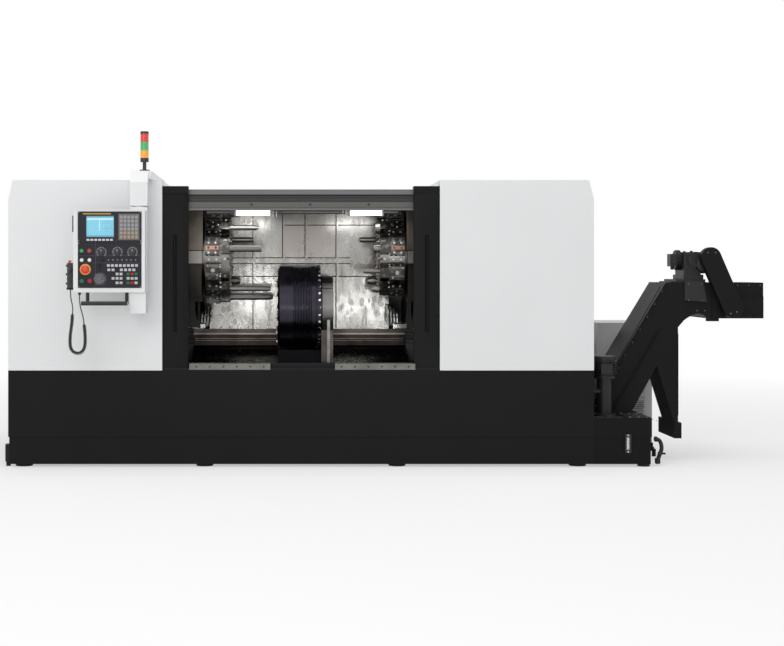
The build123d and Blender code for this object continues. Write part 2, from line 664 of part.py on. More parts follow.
def door(side):
    """A sliding door: framed panel with a grip recess, an edge seal and the cap that hangs on the header."""
    lead, tail = door_edges(side)
    x0, x1 = sorted((lead, tail))
    panel = block(x0, x1, DOOR_FRONT, DOOR_BACK, DOOR_BOTTOM, DOOR_TOP)
    w0, w1 = door_opening(side)
    panel -= block(w0, w1, DOOR_FRONT - 1, DOOR_BACK + 1, WINDOW_BOTTOM, WINDOW_TOP)
    rebate = DOOR_BACK - PANE_THICKNESS
    panel -= block(w0 - PANE_LAP, w1 + PANE_LAP, rebate, DOOR_BACK + 1, WINDOW_BOTTOM - PANE_LAP, WINDOW_TOP + PANE_LAP)
    grip = lead + side * GRIP_OFFSET
    recess = block(
        grip - GRIP_WIDTH / 2, grip + GRIP_WIDTH / 2, DOOR_FRONT - 1, DOOR_FRONT + GRIP_DEPTH, GRIP_BOTTOM, GRIP_TOP
    )
    panel -= recess
    bar = grip + side * 5
    panel += block(bar - 4, bar + 4, DOOR_FRONT - 4, DOOR_FRONT + GRIP_DEPTH + 1, GRIP_BOTTOM + 6, GRIP_TOP - 6)
    corner = lead
    panel -= front_edge_cut(corner, side)
    cap_front = DOOR_FRONT - 3
    panel += block(x0, x1, cap_front, DOOR_FRONT + 1, DOOR_TOP - 45, DOOR_TOP)
    hanger0, hanger1 = sorted((lead, lead + side * (DOOR_STRIP - 4)))
    other0, other1 = sorted((tail, tail - side * 160))
    for a, b in ((hanger0, hanger1), (other0, other1)):
        panel += block(a, b, DOOR_BACK - 1, HEADER_BACK - 6, HEADER_TOP + RUNNING_GAP, DOOR_TOP)
    return panel


def front_edge_cut(x, side):
    """The bevel along the leading edge, where the seal sits."""
    a = [(x - side, DOOR_FRONT - 1), (x + side * 19, DOOR_FRONT - 1), (x + side * 19, DOOR_FRONT), (x - side, DOOR_FRONT + 12)]
    face = make_face(Polyline([(px, py, 0) for px, py in a], close=True))
    return Pos(0, 0, DOOR_BOTTOM - 1) * extrude(face, DOOR_TOP - 45 - DOOR_BOTTOM, dir=(0, 0, 1))


def door_window(side):
    """The laminated pane in a door's rebate."""
    w0, w1 = door_opening(side)
    return block(
        w0 - PANE_LAP, w1 + PANE_LAP, DOOR_BACK - PANE_THICKNESS, DOOR_BACK,
        WINDOW_BOTTOM - PANE_LAP, WINDOW_TOP + PANE_LAP,
    )


# Conveyor


def slope_x(x, z0, z):
    """X at height z on a line at the incline's angle through x at z0."""
    return x + (z - z0) / 1.732


def conveyor_outline(inset):
    """The outline of the casing from the side, moved inwards by an inset."""
    along = inset / sin(radians(60))
    low = TANK_TOP + inset
    top_left = CONVEYOR_FOOT + along
    under = 1604 - along
    knee_x, knee_z = 1919 - along, 885
    return [
        (slope_x(top_left, TANK_TOP, low), low),
        (CONVEYOR_BEND + inset * 0.58, CONVEYOR_TOP - inset),
        (CONVEYOR_HEAD - inset, CONVEYOR_TOP - inset),
        (CONVEYOR_HEAD - inset, CHUTE_BOTTOM + inset),
        (2088, 962 + inset), (2050, 973 + inset), (2005, 962 + inset), (1958 - inset * 0.4, 930 + inset),
        (knee_x, knee_z + inset * 0.3),
        (slope_x(under, TANK_TOP, low), low),
    ]


def conveyor_casing():
    """The inclined casing with side flanges, belt channel, tapered leg and cross foot."""
    y0, y1, t = CONVEYOR_FRONT, CONVEYOR_BACK, CONVEYOR_SHEET
    leg = [(1776, 630), (1840, 750), (1909, 876), (1918, 876), (1918, 252), (1893, 252)]
    outer = front_profile(conveyor_outline(0), y0, y1) + front_profile(leg, y0 + 4, y0 + 340)
    outer += block(1893, 1940, y0, y0 + 440, 148, 252)
    outer -= front_profile(conveyor_outline(t), y0 + t, y1 - t)
    outer -= block(CONVEYOR_HEAD - t - 1, CONVEYOR_HEAD + 1, y0 + t, y1 - t, CHUTE_BOTTOM + t, CONVEYOR_TOP - t)
    seam_low, seam_high = 296, 880
    seam = [
        (slope_x(1467, 296, TANK_TOP + 2), TANK_TOP + 2), (slope_x(1467, seam_low, seam_high), seam_high),
        (slope_x(1467, seam_low, seam_high) + 11, seam_high), (slope_x(1467, 296, TANK_TOP + 2) + 11, TANK_TOP + 2),
    ]
    outer += front_profile(seam, y0 - 8, y0 + 1)
    outer += front_profile(seam, y1 - 1, y1 + 8)
    edge = [(CONVEYOR_FOOT, TANK_TOP), (CONVEYOR_BEND, CONVEYOR_TOP), (CONVEYOR_BEND + 14, CONVEYOR_TOP)]
    edge.append((CONVEYOR_FOOT + 14, TANK_TOP))
    outer += front_profile(edge, y0 - 10, y0 + 1)
    for i in range(9):
        z = 400 + i * 84
        x = slope_x(CONVEYOR_FOOT + 34, TANK_TOP, z)
        outer += rod_y(y0 - 7, y0 + 1, x, z, 7)
    return outer


def conveyor_belt():
    """The hinged steel belt: one endless loop inside the casing."""
    inset = CONVEYOR_SHEET + RUNNING_GAP
    y0, y1 = CONVEYOR_FRONT + 16, CONVEYOR_BACK - 16
    loop = front_profile(belt_outline(inset), y0, y1)
    return loop - front_profile(belt_outline(inset + 26), y0 - 1, y1 + 1)


def belt_outline(inset):
    """The belt's path: up the incline and round the head shaft."""
    along = inset / sin(radians(60))
    low = TANK_TOP + inset
    return [
        (slope_x(CONVEYOR_FOOT + along, TANK_TOP, low), low),
        (CONVEYOR_BEND + inset * 0.58, CONVEYOR_TOP - inset),
        (BELT_END - inset, CONVEYOR_TOP - inset),
        (BELT_END - inset, 978 + inset),
        (2012, 978 + inset), (1944, 944 + inset),
        (1919 - along, 885 + inset * 0.3),
        (slope_x(1604 - along, TANK_TOP, low), low),
    ]


def head_shaft():
    """The head shaft with its two sprockets."""
    y0, y1 = CONVEYOR_FRONT, CONVEYOR_BACK
    shaft = rod_y(y0 - 5, y1 + 4, HEAD_SHAFT_X, HEAD_SHAFT_Z, HEAD_SHAFT_RADIUS)
    for y in (y0 + 60, y1 - 80):
        wheel = rod_y(y, y + 20, HEAD_SHAFT_X, HEAD_SHAFT_Z, SPROCKET_RADIUS)
        reach = SPROCKET_RADIUS + 5
        for i in range(8):
            a = radians(22.5 + i * 45)
            wheel -= rod_y(y - 1, y + 21, HEAD_SHAFT_X + reach * cos(a), HEAD_SHAFT_Z + reach * sin(a), 13)
        shaft += wheel
    return shaft


def chute():
    """The discharge chute past the head: open below, with a stiffening fold on each side."""
    y0, y1, t = CONVEYOR_FRONT, CONVEYOR_BACK, 5
    box = block(CONVEYOR_HEAD, CHUTE_END, y0, y1, CHUTE_BOTTOM, CONVEYOR_TOP)
    box -= block(CONVEYOR_HEAD - 1, CHUTE_END - t, y0 + t, y1 - t, CHUTE_BOTTOM - 1, CONVEYOR_TOP - t)
    box += block(2140, CHUTE_END, y0 - 6, y0 + 1, CHUTE_BOTTOM, 1086) + block(2140, 2330, y0 - 6, y0 + 1, 1080, 1130)
    box += block(CONVEYOR_HEAD, CONVEYOR_HEAD + 76, y0, y0 + 44, CHUTE_BOTTOM - 19, CHUTE_BOTTOM + 5)
    for x, z in ((2420, 960), (2420, 1066), (2310, 960)):
        box += rod_y(y0 - 11, y0 - 5, x, z, 7)
    bearing = rod_y(y1 - 1, y1 + 5, HEAD_SHAFT_X, HEAD_SHAFT_Z, 48)
    return box + bearing - rod_y(y0 - 20, y1 + 20, HEAD_SHAFT_X, HEAD_SHAFT_Z, HEAD_SHAFT_RADIUS + 0.06)


def chain_guard():
    """The slanted guard over the chain from the gearmotor to the head shaft: an oblong box with round ends."""
    top, low, r = (2118, 1345), (2262, 1012), 66
    y1 = CONVEYOR_FRONT - 11
    y0 = y1 - 62
    run = [top[0] - low[0], top[1] - low[1]]
    length = (run[0] ** 2 + run[1] ** 2) ** 0.5
    nx, nz = -run[1] / length * r, run[0] / length * r
    body = front_profile(
        [(top[0] + nx, top[1] + nz), (top[0] - nx, top[1] - nz), (low[0] - nx, low[1] - nz), (low[0] + nx, low[1] + nz)],
        y0, y1,
    )
    body += rod_y(y0, y1, *top, r) + rod_y(y0, y1, *low, r)
    body = fillet(body.faces().sort_by(Axis.Y)[0].edges(), 6)
    stay = block(2200, 2250, y1 - 1, CONVEYOR_FRONT - 6, 960, 1080)
    return body + stay


def gearmotor():
    """The gearmotor on its stepped base: plates, gear case and finned motor."""
    y = CONVEYOR_FRONT
    z = CONVEYOR_TOP
    base_plate = block(1905, 2100, y + 10, y + 330, z, z + 22)
    base_plate += block(1872, 1905, y + 10, y + 330, z, z + 8)
    cover = [(1958, 1060), (1958, z + 10), (2080, z + 10), (2108, 1050)]
    base_plate += front_profile(cover, y - 10, y) + block(1958, 2080, y - 10, y + 11, z, z + 10)
    base_plate += block(1958, 2090, y + 20, y + 300, z + 22, z + 52)
    case = block(1963, 2075, y + 30, y + 260, z + 52, 1380)
    case = case + rod_y(y + 20, y + 270, 2040, 1330, 52)
    case += rod_y(CONVEYOR_FRONT - 11, y + 30, 2080, 1340, 22)
    motor = rod_x(1926, 1965, y + 140, 1327, 62)
    for i in range(4):
        motor += rod_x(1932 + i * 8, 1935 + i * 8, y + 140, 1327, 68)
    return base_plate + case + motor


# Pump, cabinet


def pump():
    """The immersion pump on the tank: foot, column, motor, fan cowl and outlet."""
    x, y = 1401, FRONT + 200
    body = rod_z(TANK_TOP, TANK_TOP + 12, x, y, 80)
    body += rod_z(TANK_TOP, 560, x, y, 48)
    body += rod_z(556, 572, x, y, 72)
    motor = rod_z(572, 676, x, y, 64)
    for i in range(12):
        motor += Pos(x, y, 624) * Rot(0, 0, i * 30) * Box(142, 5, 96)
    body += motor + rod_z(674, 700, x, y, 71)
    body += block(x - 36, x + 36, y - 84, y - 58, 590, 650)
    body += rod_x(x - 78, x, y - 20, 470, 17)
    return body


def coolant_pipe():
    """The rigid pipe from the pump's outlet into the base."""
    x, y = 1401 - 78, FRONT + 180
    path = FilletPolyline((x, y, 470), (x - 14, y, 470), (x - 14, y, 400), (TANK_LEFT, y, 400), radius=6)
    section = Plane(origin=(x, y, 470), z_dir=(-1, 0, 0)) * Circle(5)
    return sweep(section, path)


def cabinet():
    """The ventilated unit cabinet: a shell with a frame, a vent patch and feet."""
    x0, x1 = CABINET_LEFT, CABINET_LEFT + CABINET_WIDTH
    y0, y1 = CABINET_FRONT, CABINET_FRONT + CABINET_DEPTH
    shell = block(x0, x1, y0, y1, 30, CABINET_TOP)
    shell -= block(x0 + 3, x1 - 3, y0 - 1, y1 - 3, 60, CABINET_TOP - 3)
    shell += block(x1 - 44, x1 - 3, y0, y0 + 16, 60, CABINET_TOP - 3)
    shell += block(x0 + 3, x0 + 20, y0, y0 + 16, 60, CABINET_TOP - 3)
    shell += block(x0 + 40, x1 - 60, y0 + 60, y1 - 60, 60, 420)
    for x in (x0 + 40, x1 - 40):
        for y in (y0 + 40, y1 - 40):
            shell += rod_z(0, 31, x, y, 22)
    duct = block(LEFT_END + BASE_LENGTH, x0 + 1, y0 + 190, y0 + 290, BASE_TOP + 62, BASE_TOP + 122)
    duct -= block(LEFT_END + BASE_LENGTH - 1, x0 + 1, y0 + 193, y0 + 287, BASE_TOP + 65, BASE_TOP + 119)
    for x in (LEFT_END + BASE_LENGTH, x0 - 4):
        duct += block(x, x + 4, y0 + 175, y0 + 305, BASE_TOP + 47, BASE_TOP + 137)
    duct -= block(LEFT_END + BASE_LENGTH - 1, x0 - 4, y0 + 193, y0 + 287, BASE_TOP + 65, BASE_TOP + 119)
    return shell + duct


def cabinet_cover():
    """The cabinet's screwed front cover, with its vent slots and perforated grille."""
    x0, x1 = CABINET_LEFT + 20.5, CABINET_LEFT + CABINET_WIDTH - 44.5
    y0 = CABINET_FRONT
    leaf = block(x0, x1, y0, y0 + 14, 60.5, CABINET_TOP - 3.5)
    for i in range(5):
        z = 627 + i * 12
        leaf -= block(x0 + 90, x0 + 180, y0 - 1, y0 + 15, z, z + 6)
    for i in range(6):
        for j in range(9):
            leaf -= rod_y(y0 - 1, y0 + 15, x1 - 78 + i * 13, 290 + j * 18, 4)
    for x in (x0 + 9, x1 - 9):
        for z in (80, 470, CABINET_TOP - 24):
            leaf += rod_y(y0 - 3, y0 + 1, x, z, 5)
    return leaf


# Pendant


def pendant_arm():
    """The box arm over the left housing, ending in the pivot head."""
    x0, x1 = PIVOT_X - 54, PIVOT_X + 76
    y0 = PIVOT_Y - COLUMN_HALF
    arm = block(x0, x1, y0 + 60, FRONT + 1100, HOUSING_TOP, ARM_TOP)
    head_x = PIVOT_X + COLUMN_HALF + 4
    head_line = [
        (y0, PIVOT_Z + 8), (y0, HOUSING_TOP - 22), (y0 + 62, ARM_TOP), (FRONT - 0.4, ARM_TOP), (FRONT - 0.4, PIVOT_Z + 8),
    ]
    head = side_profile(head_line, x0, head_x)
    head += block(x0, x1, y0 + 62, FRONT, HOUSING_TOP, ARM_TOP)
    socket = rod_z(PIVOT_Z, PIVOT_Z + 60, PIVOT_X, PIVOT_Y, PIVOT_PIN + 0.05)
    return arm + head - socket


def pendant_column():
    """Outline pieces of the swivelling column behind the panel."""
    x0, x1 = PIVOT_X - COLUMN_HALF, PIVOT_X + COLUMN_HALF
    y0, y1 = PIVOT_Y - COLUMN_HALF, PIVOT_Y + COLUMN_HALF - 8
    column = block(x0, x1, y0, y1, 1010, PIVOT_Z)
    line = [(y0, 1010), (y0 + 24, 985), (y1, 985), (y1, 1010)]
    column += side_profile(line, x0, x1)
    column += block(x0, x1, PENDANT_FRONT + 20, y0 + 1, 989, PENDANT_BOTTOM + 1)
    ring = rod_z(PIVOT_Z, PIVOT_Z + 8 - RUNNING_GAP, PIVOT_X, PIVOT_Y, 45)
    pin = rod_z(PIVOT_Z, PIVOT_Z + 58, PIVOT_X, PIVOT_Y, PIVOT_PIN)
    return column + ring + pin


def pendant():
    """The pendant's white case on its column, with the recess for the panels and the tube handle below."""
    x0, x1 = PENDANT_LEFT, PENDANT_LEFT + PENDANT_WIDTH
    z0, z1 = PENDANT_BOTTOM, PENDANT_BOTTOM + PENDANT_HEIGHT
    case = block(x0, x1, PENDANT_FRONT, PENDANT_BACK, z0, z1)
    case = fillet(case.edges().filter_by(Axis.Y), 8)
    case -= block(PANEL_X0, PANEL_X1, PENDANT_FRONT - 1, PENDANT_FRONT + PANEL_SHEET, PANEL_Z0, PANEL_Z1)
    for x, z, radius in HOLES:
        case -= rod_y(PENDANT_FRONT, PENDANT_FRONT + 40, x, z, radius)
    handle_y = FRONT - PENDANT_REACH + HANDLE_RADIUS
    left, right = -1918, -1673
    for x in (left, right):
        case += rod_z(HANDLE_Z - 2, z0 + 1, x, PENDANT_FRONT + 22, HANDLE_RADIUS - 2)
        case += rod_y(handle_y, PENDANT_FRONT + 34, x, HANDLE_Z, HANDLE_RADIUS - 1)
    case += rod_x(left - 29, right + 13, handle_y, HANDLE_Z, HANDLE_RADIUS)
    case += rod_z(z0 - 16, z0 + 1, GLAND_X, GLAND_Y, 9)
    hook = block(REMOTE_X - 22, x0 + 1, GLAND_Y - 22, GLAND_Y + 20, REMOTE_BOTTOM - 12, REMOTE_BOTTOM)
    hook -= block(REMOTE_X - 8, REMOTE_X + 8, GLAND_Y - 23, GLAND_Y + 8, REMOTE_BOTTOM - 13, REMOTE_BOTTOM + 1)
    hook += block(x0 - 9, x0 + 1, PENDANT_FRONT + 14, PENDANT_BACK - 20, 1498, 1601)
    return case + hook + pendant_column()


PANEL_X0, PANEL_X1, PANEL_Z0, PANEL_Z1 = -1976, -1579, 1149, 1626
SPLIT_Z = 1436
GLAND_X, GLAND_Y = -1971, PENDANT_FRONT + 40
BUTTON_RADIUS = 11
START = (-1951, 1380)
STOP = (-1903, 1380)
DIALS = ((-1829, 1373), (-1729, 1373), (-1635, 1373))
ESTOP = (-1929, 1264)
WHEEL = (-1838, 1205)
STEM = 7
HOLES = tuple((x, z, STEM + 0.06) for x, z in (START, STOP, *DIALS, ESTOP, WHEEL))


def control_unit():
    """The display unit: a raised bezel round the screen, soft keys and a keypad."""
    y = PENDANT_FRONT
    unit = block(PANEL_X0, PANEL_X1, y - 7, y + PANEL_SHEET, SPLIT_Z, PANEL_Z1)
    unit -= block(-1922, -1751, y - 8, y - 2, 1467, 1598)
    for i in range(7):
        x = -1921 + i * 24.3
        unit += block(x, x + 18, y - 10, y - 6, 1443, 1455)
    for i in range(5):
        for j in range(6):
            x, z = -1714 + i * 23.6, 1457 + j * 24.8
            unit += block(x, x + 19, y - 11, y - 6, z, z + 20)
    unit += block(-1944, -1769, y - 9, y - 6, 1607, 1616)
    return unit


def screen():
    """The display glass in the bezel."""
    y = PENDANT_FRONT
    return block(-1922, -1751, y - 5, y - 2, 1467, 1598)


def operator_panel():
    """The machine panel below the display, with its fixed keys and lamps."""
    y = PENDANT_FRONT
    panel = block(PANEL_X0, PANEL_X1, y - 3, y + PANEL_SHEET, PANEL_Z0, SPLIT_Z)
    for x, z in (START, STOP, *DIALS, ESTOP, WHEEL):
        panel -= rod_y(y - 4, y + PANEL_SHEET + 1, x, z, STEM + 0.06)
    for x, z in ((-1951, 1323), (-1903, 1323), (-1951, 1192), (-1901, 1192)):
        panel += rod_y(y - 11, y - 2, x, z, BUTTON_RADIUS)
    keys = [(-1785 + i * 25, 1289) for i in range(8)]
    keys += [(-1782 + i * 26, 1262) for i in range(7)]
    keys += [(x, z) for z in (1236, 1209, 1181) for x in (-1756, -1731, -1706, -1662, -1637, -1612)]
    for x, z in keys:
        panel += block(x - 9, x + 9, y - 7, y - 2, z - 8, z + 8)
    for i in range(7):
        panel += rod_y(y - 6, y - 2, -1784 + i * 28, 1324, 4)
    panel += rod_y(y - 12, y - 2, -1844, 1286, 10) + block(-1848, -1840, y - 22, y - 11, 1272, 1300)
    panel += rod_y(y - 12, y - 2, -1820, 1326, 8) + rod_y(y - 24, y - 11, -1820, 1326, 3)
    return panel


def push_button(place, radius, height, name_radius=STEM):
    """A round push button on its stem: a domed cap that stands clear of the panel by its travel."""
    x, z = place
    y = PENDANT_FRONT - 3
    cap = rod_y(y - height, y - 5, x, z, radius)
    cap = fillet(cap.faces().sort_by(Axis.Y)[0].edges(), 2)
    return cap + rod_y(y - 6, PENDANT_FRONT + 26, x, z, name_radius)


def estop():
    """The mushroom-headed stop button."""
    x, z = ESTOP
    y = PENDANT_FRONT - 3
    line = [(0, y - 34), (10, y - 34), (20, y - 30), (26, y - 22), (26, y - 16), (15, y - 12), (15, y - 7), (0, y - 7)]
    face = make_face(Polyline([(x + r, yy, z) for r, yy in line], close=True))
    head = revolve(face, Axis((x, 0, z), (0, 1, 0)), 360)
    return head + rod_y(y - 8, PENDANT_FRONT + 28, x, z, STEM)


def dial(place):
    """A rotary override dial: knurled skirt, pointer knob and stem."""
    x, z = place
    y = PENDANT_FRONT - 3
    knob = rod_y(y - 8, y - RUNNING_GAP, x, z, 19)
    for i in range(18):
        a = radians(i * 20)
        knob -= rod_y(y - 9, y - 0.1, x + 20 * cos(a), z + 20 * sin(a), 2.2)
    knob += rod_y(y - 20, y - 7, x, z, 12)
    knob += block(x - 2.5, x + 2.5, y - 23, y - 19, z - 10, z + 12)
    return knob + rod_y(y - 1, PENDANT_FRONT + 26, x, z, STEM)


def handwheel():
    """The pulse handwheel: dished wheel, rim and crank knob."""
    x, z = WHEEL
    y = PENDANT_FRONT - 3
    wheel = rod_y(y - 12, y - RUNNING_GAP, x, z, 31)
    wheel -= rod_y(y - 13, y - 8, x, z, 24) - rod_y(y - 14, y - 7, x, z, 10)
    wheel += rod_y(y - 26, y - 8, x + 15, z + 10, 5)
    return wheel + rod_y(y - 1, PENDANT_FRONT + 26, x, z, STEM)


# Portable handwheel box and its curly lead
REMOTE_X, REMOTE_Y = PENDANT_LEFT - 24, PENDANT_FRONT + 40
LEAD_RADIUS = 3.5
COIL_RADIUS = 10
REMOTE_BOTTOM = 1149
COIL_LINE = (
    (-1943, REMOTE_Y, 925), (-1934, REMOTE_Y, 845), (-1937, REMOTE_Y, 770), (-1963, REMOTE_Y, 738),
    (-2002, REMOTE_Y, 739), (-2029, REMOTE_Y, 768), (-2031, REMOTE_Y, 842), (-2019, REMOTE_Y, 918),
    (-2015, REMOTE_Y, 990),
)
LEAD_OUT = (
    (GLAND_X, GLAND_Y, PENDANT_BOTTOM - 16), (GLAND_X, GLAND_Y, 1060), (-1963, GLAND_Y, 1015),
    (-1948, GLAND_Y, 970), COIL_LINE[0],
)
LEAD_BACK = (
    COIL_LINE[-1], (-2012.5, REMOTE_Y, 1035), (REMOTE_X, REMOTE_Y, 1085), (REMOTE_X, REMOTE_Y, REMOTE_BOTTOM),
)


def remote():
    """The portable handwheel box that hangs on the hook at the pendant's left side."""
    x, y = REMOTE_X, REMOTE_Y
    box = block(x - 19, x + 15, y - 20, y + 20, REMOTE_BOTTOM, 1305)
    box = fillet(box.edges().filter_by(Axis.Z), 6)
    box += rod_y(y - 34, y - 19, x - 2, 1262, 15) + rod_y(y - 24, y - 19, x - 2, 1215, 8)
    box += rod_y(y - 24, y - 19, x - 2, 1180, 6)
    return box


def route(points):
    """A path of straight runs joined by arcs, each as large as its two runs allow."""
    radii = []
    for a, b, c in zip(points, points[1:], points[2:]):
        run = min((Vector(*b) - Vector(*a)).length, (Vector(*c) - Vector(*b)).length)
        turn = (Vector(*b) - Vector(*a)).get_angle(Vector(*c) - Vector(*b))
        radii.append(0.45 * run / max(1e-6, sin(radians(turn / 2)) / cos(radians(turn / 2))))
    print("cord radii", [round(r) for r in radii])
    return FilletPolyline(*points, radius=radii)


def tube(points, radius):
    """A round tube along a route."""
    path = route(points)
    start = Vector(*points[0])
    way = Vector(*points[1]) - start
    section = Plane(origin=start, z_dir=way) * Circle(radius)
    solid = sweep(section, path)
    print("cord volume ratio", round(solid.volume / (3.14159 * radius**2 * path.length), 4))
    return solid


# Signal tower
TOWER_Y = PIVOT_Y + 44


def tower_pole():
    """The tower's flange, tube, base and cap."""
    body = rod_z(ARM_TOP, ARM_TOP + 8, TOWER_X, TOWER_Y, 32) + rod_z(ARM_TOP, 1950, TOWER_X, TOWER_Y, 12)
    body += rod_z(1948, 1973, TOWER_X, TOWER_Y, TOWER_RADIUS)
    cap = rod_z(2127, 2143, TOWER_X, TOWER_Y, TOWER_RADIUS)
    return body, fillet(cap.edges().sort_by(Axis.Z)[-1], 5)


def lens(z0, z1):
    """One ribbed lens ring of the tower."""
    body = rod_z(z0, z1, TOWER_X, TOWER_Y, TOWER_RADIUS - 1)
    for z in (z0, z1 - 4):
        body += rod_z(z, z + 4, TOWER_X, TOWER_Y, TOWER_RADIUS)
    return body


os.makedirs("parts", exist_ok=True)
save("base", base())
save("levelling_feet", *levelling_feet())
save("coolant_tank", tank())
save("level_gauge", level_gauge())
for side, name in ((-1, "left"), (1, "right")):
    save(f"{name}_housing", housing(side))
    save(f"{name}_door", door(side))
    save(f"{name}_door_window", door_window(side))
    save(f"{name}_turret_disc", turret_disc(side))
    save(f"{name}_turret_tools", *tools(side))
    save(f"{name}_cross_slide", slide(side))
    save(f"{name}_carriage", carriage(side))
save("roof_and_rear_cover", roof_and_rear())
save("header_beam", header())
save("work_area_ceiling", ceiling())
save("lamp_tubes", *lamp_tubes())
save("door_sill", door_track() + sill())
save("chip_tray", chip_tray())
save("back_wall_panels", *back_wall())
save("bed", bed())
save("bed_rails", *rails())
save("headstock", headstock())
save("spindle_bearings", *spindle_bearings())
save("spindle_drum", drum())
save("clamping_collet", collet())
save("conveyor_casing", conveyor_casing())
save("conveyor_belt", conveyor_belt())
save("conveyor_head_shaft", head_shaft())
save("discharge_chute", chute())
save("chain_guard", chain_guard())
save("conveyor_gearmotor", gearmotor())
save("coolant_pump", pump(), coolant_pipe())
save("unit_cabinet", cabinet())
save("unit_cabinet_cover", cabinet_cover())
save("pendant_arm", pendant_arm())
save("pendant_case", pendant())
save("control_unit", control_unit())
save("display_screen", screen())
save("operator_panel", operator_panel())
save("start_button", push_button(START, BUTTON_RADIUS, 15))
save("stop_button", push_button(STOP, BUTTON_RADIUS, 15))
save("emergency_stop", estop())
for name, place in zip(("spindle_override", "feed_override", "mode_selector"), DIALS):
    save(name, dial(place))
save("pulse_handwheel", handwheel())
save("remote_handwheel", remote())
save("remote_lead", tube(LEAD_OUT, LEAD_RADIUS), tube(LEAD_BACK, LEAD_RADIUS))
save("remote_lead_coil", tube(COIL_LINE, COIL_RADIUS))
save("tower_pole", *tower_pole())
save("tower_red_lens", lens(2074, 2127))
save("tower_green_lens", lens(2023, 2074))
save("tower_amber_lens", lens(1973, 2023))
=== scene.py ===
"""Looks of a centre-drive turning lathe around its CAD frame: finishes, fittings, coiled lead and stage."""

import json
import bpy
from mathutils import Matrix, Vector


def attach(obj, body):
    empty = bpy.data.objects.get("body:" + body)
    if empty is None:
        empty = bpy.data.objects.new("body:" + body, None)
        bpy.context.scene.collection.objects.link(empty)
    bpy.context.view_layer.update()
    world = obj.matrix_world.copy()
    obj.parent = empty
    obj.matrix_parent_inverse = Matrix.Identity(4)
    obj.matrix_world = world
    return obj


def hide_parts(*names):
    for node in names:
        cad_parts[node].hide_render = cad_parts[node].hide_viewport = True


bl_info = {
    "name": "Turning lathe finish",
    "version": (1, 0, 0),
    "blender": (4, 5, 0),
    "location": "3D View > Sidebar > Lathe",
    "description": "Paints and fits out a turning lathe with two turrets, and sets its studio",
    "category": "Object",
}

from functools import reduce
from math import cos, pi, radians, sin

import bmesh
import bpy
import numpy as np

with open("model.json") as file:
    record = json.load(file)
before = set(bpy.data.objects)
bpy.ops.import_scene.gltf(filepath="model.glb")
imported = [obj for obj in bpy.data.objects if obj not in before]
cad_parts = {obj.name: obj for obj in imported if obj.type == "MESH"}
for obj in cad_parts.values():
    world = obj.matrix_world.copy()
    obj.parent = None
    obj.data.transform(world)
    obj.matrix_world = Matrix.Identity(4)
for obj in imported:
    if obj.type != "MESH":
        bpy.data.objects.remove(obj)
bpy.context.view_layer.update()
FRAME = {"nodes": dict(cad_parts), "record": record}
BODIES = FRAME["record"]["behaviour"]["bodies"]
BODY_OF = {node: body for body, nodes in BODIES.items() for node in nodes}

# Main places, in metres, in the frame of the machine
FRONT = -0.785
BACK = 1.115
LEFT_END = -2.455
RIGHT_END = 1.295
PENDANT_FRONT = -1.035
WALL_FACE = 0.144
CABINET_FACE = 0.2115
CONVEYOR_FRONT, CONVEYOR_REAR = -0.455, -0.005
SPINDLE_Y, SPINDLE_Z = -0.195, 1.013
TURRET_Z = 1.363

# Directions
TOWARD, AWAY = (0, -1, 0), (0, 1, 0)
UP, DOWN = (0, 0, 1), (0, 0, -1)
LEFTWARD, RIGHTWARD = (-1, 0, 0), (1, 0, 0)

# The view of the photograph: the eye's X and Z, its distance from the front, the lens and its shift
EYE_X, EYE_Z, EYE_DISTANCE = -0.715, 1.261, 10.0
LENS, SHIFT_X, SHIFT_Y = 71.75, 0.1429, -0.0676

# The portable handwheel's lead: the route of its plain ends and of its coil, as X and Z at one depth
LEAD_Y = PENDANT_FRONT + 0.040
LEAD_OUT = ((-1.971, 1.105), (-1.971, 1.060), (-1.963, 1.015), (-1.948, 0.970), (-1.943, 0.925))
COIL_LINE = (
    (-1.943, 0.925), (-1.934, 0.845), (-1.937, 0.770), (-1.963, 0.738), (-2.002, 0.739),
    (-2.029, 0.768), (-2.031, 0.842), (-2.019, 0.918), (-2.015, 0.990),
)
LEAD_BACK = ((-2.015, 0.990), (-2.0125, 1.035), (-2.028, 1.085), (-2.028, 1.149))

# Full white, as a socket value
WHITE = (1.0, 1.0, 1.0, 1.0)


# Materials

# Plain steels: colour, roughness, how much the lines are drawn out along each axis, and stain
STEELS = {
    "blued_drum": ((0.036, 0.033, 0.044), 0.24, (120.0, 1.0, 1.0), 0.25),
    "bolt_dark": ((0.10, 0.10, 0.10), 0.4, (40.0, 40.0, 40.0), 0.2),
    "bright_rail": ((0.50, 0.49, 0.47), 0.25, (2.0, 200.0, 200.0), 0.15),
    "bronze_bush": ((0.36, 0.20, 0.145), 0.30, (20.0, 90.0, 90.0), 0.2),
    "edge_steel": ((0.150, 0.144, 0.132), 0.42, (2.0, 160.0, 160.0), 0.3),
    "ground_steel": ((0.52, 0.52, 0.52), 0.22, (2.0, 200.0, 200.0), 0.15),
    "guard_brown": ((0.070, 0.062, 0.056), 0.32, (2.0, 90.0, 90.0), 0.5),
    "lip_steel": ((0.26, 0.235, 0.22), 0.34, (2.0, 120.0, 120.0), 0.3),
    "nickel_disc": ((0.22, 0.215, 0.205), 0.26, (200.0, 6.0, 6.0), 0.35),
    "ring_bright": ((0.72, 0.70, 0.72), 0.3, (9.0, 9.0, 9.0), 0.05),
    "screw_zinc": ((0.42, 0.42, 0.42), 0.3, (40.0, 40.0, 40.0), 0.2),
    "sill_screw": ((0.045, 0.045, 0.045), 0.4, (40.0, 40.0, 40.0), 0.2),
    "skirt_brown": ((0.034, 0.027, 0.024), 0.36, (2.0, 90.0, 90.0), 0.5),
    "strip_steel": ((0.23, 0.215, 0.20), 0.36, (60.0, 60.0, 20.0), 0.7),
}

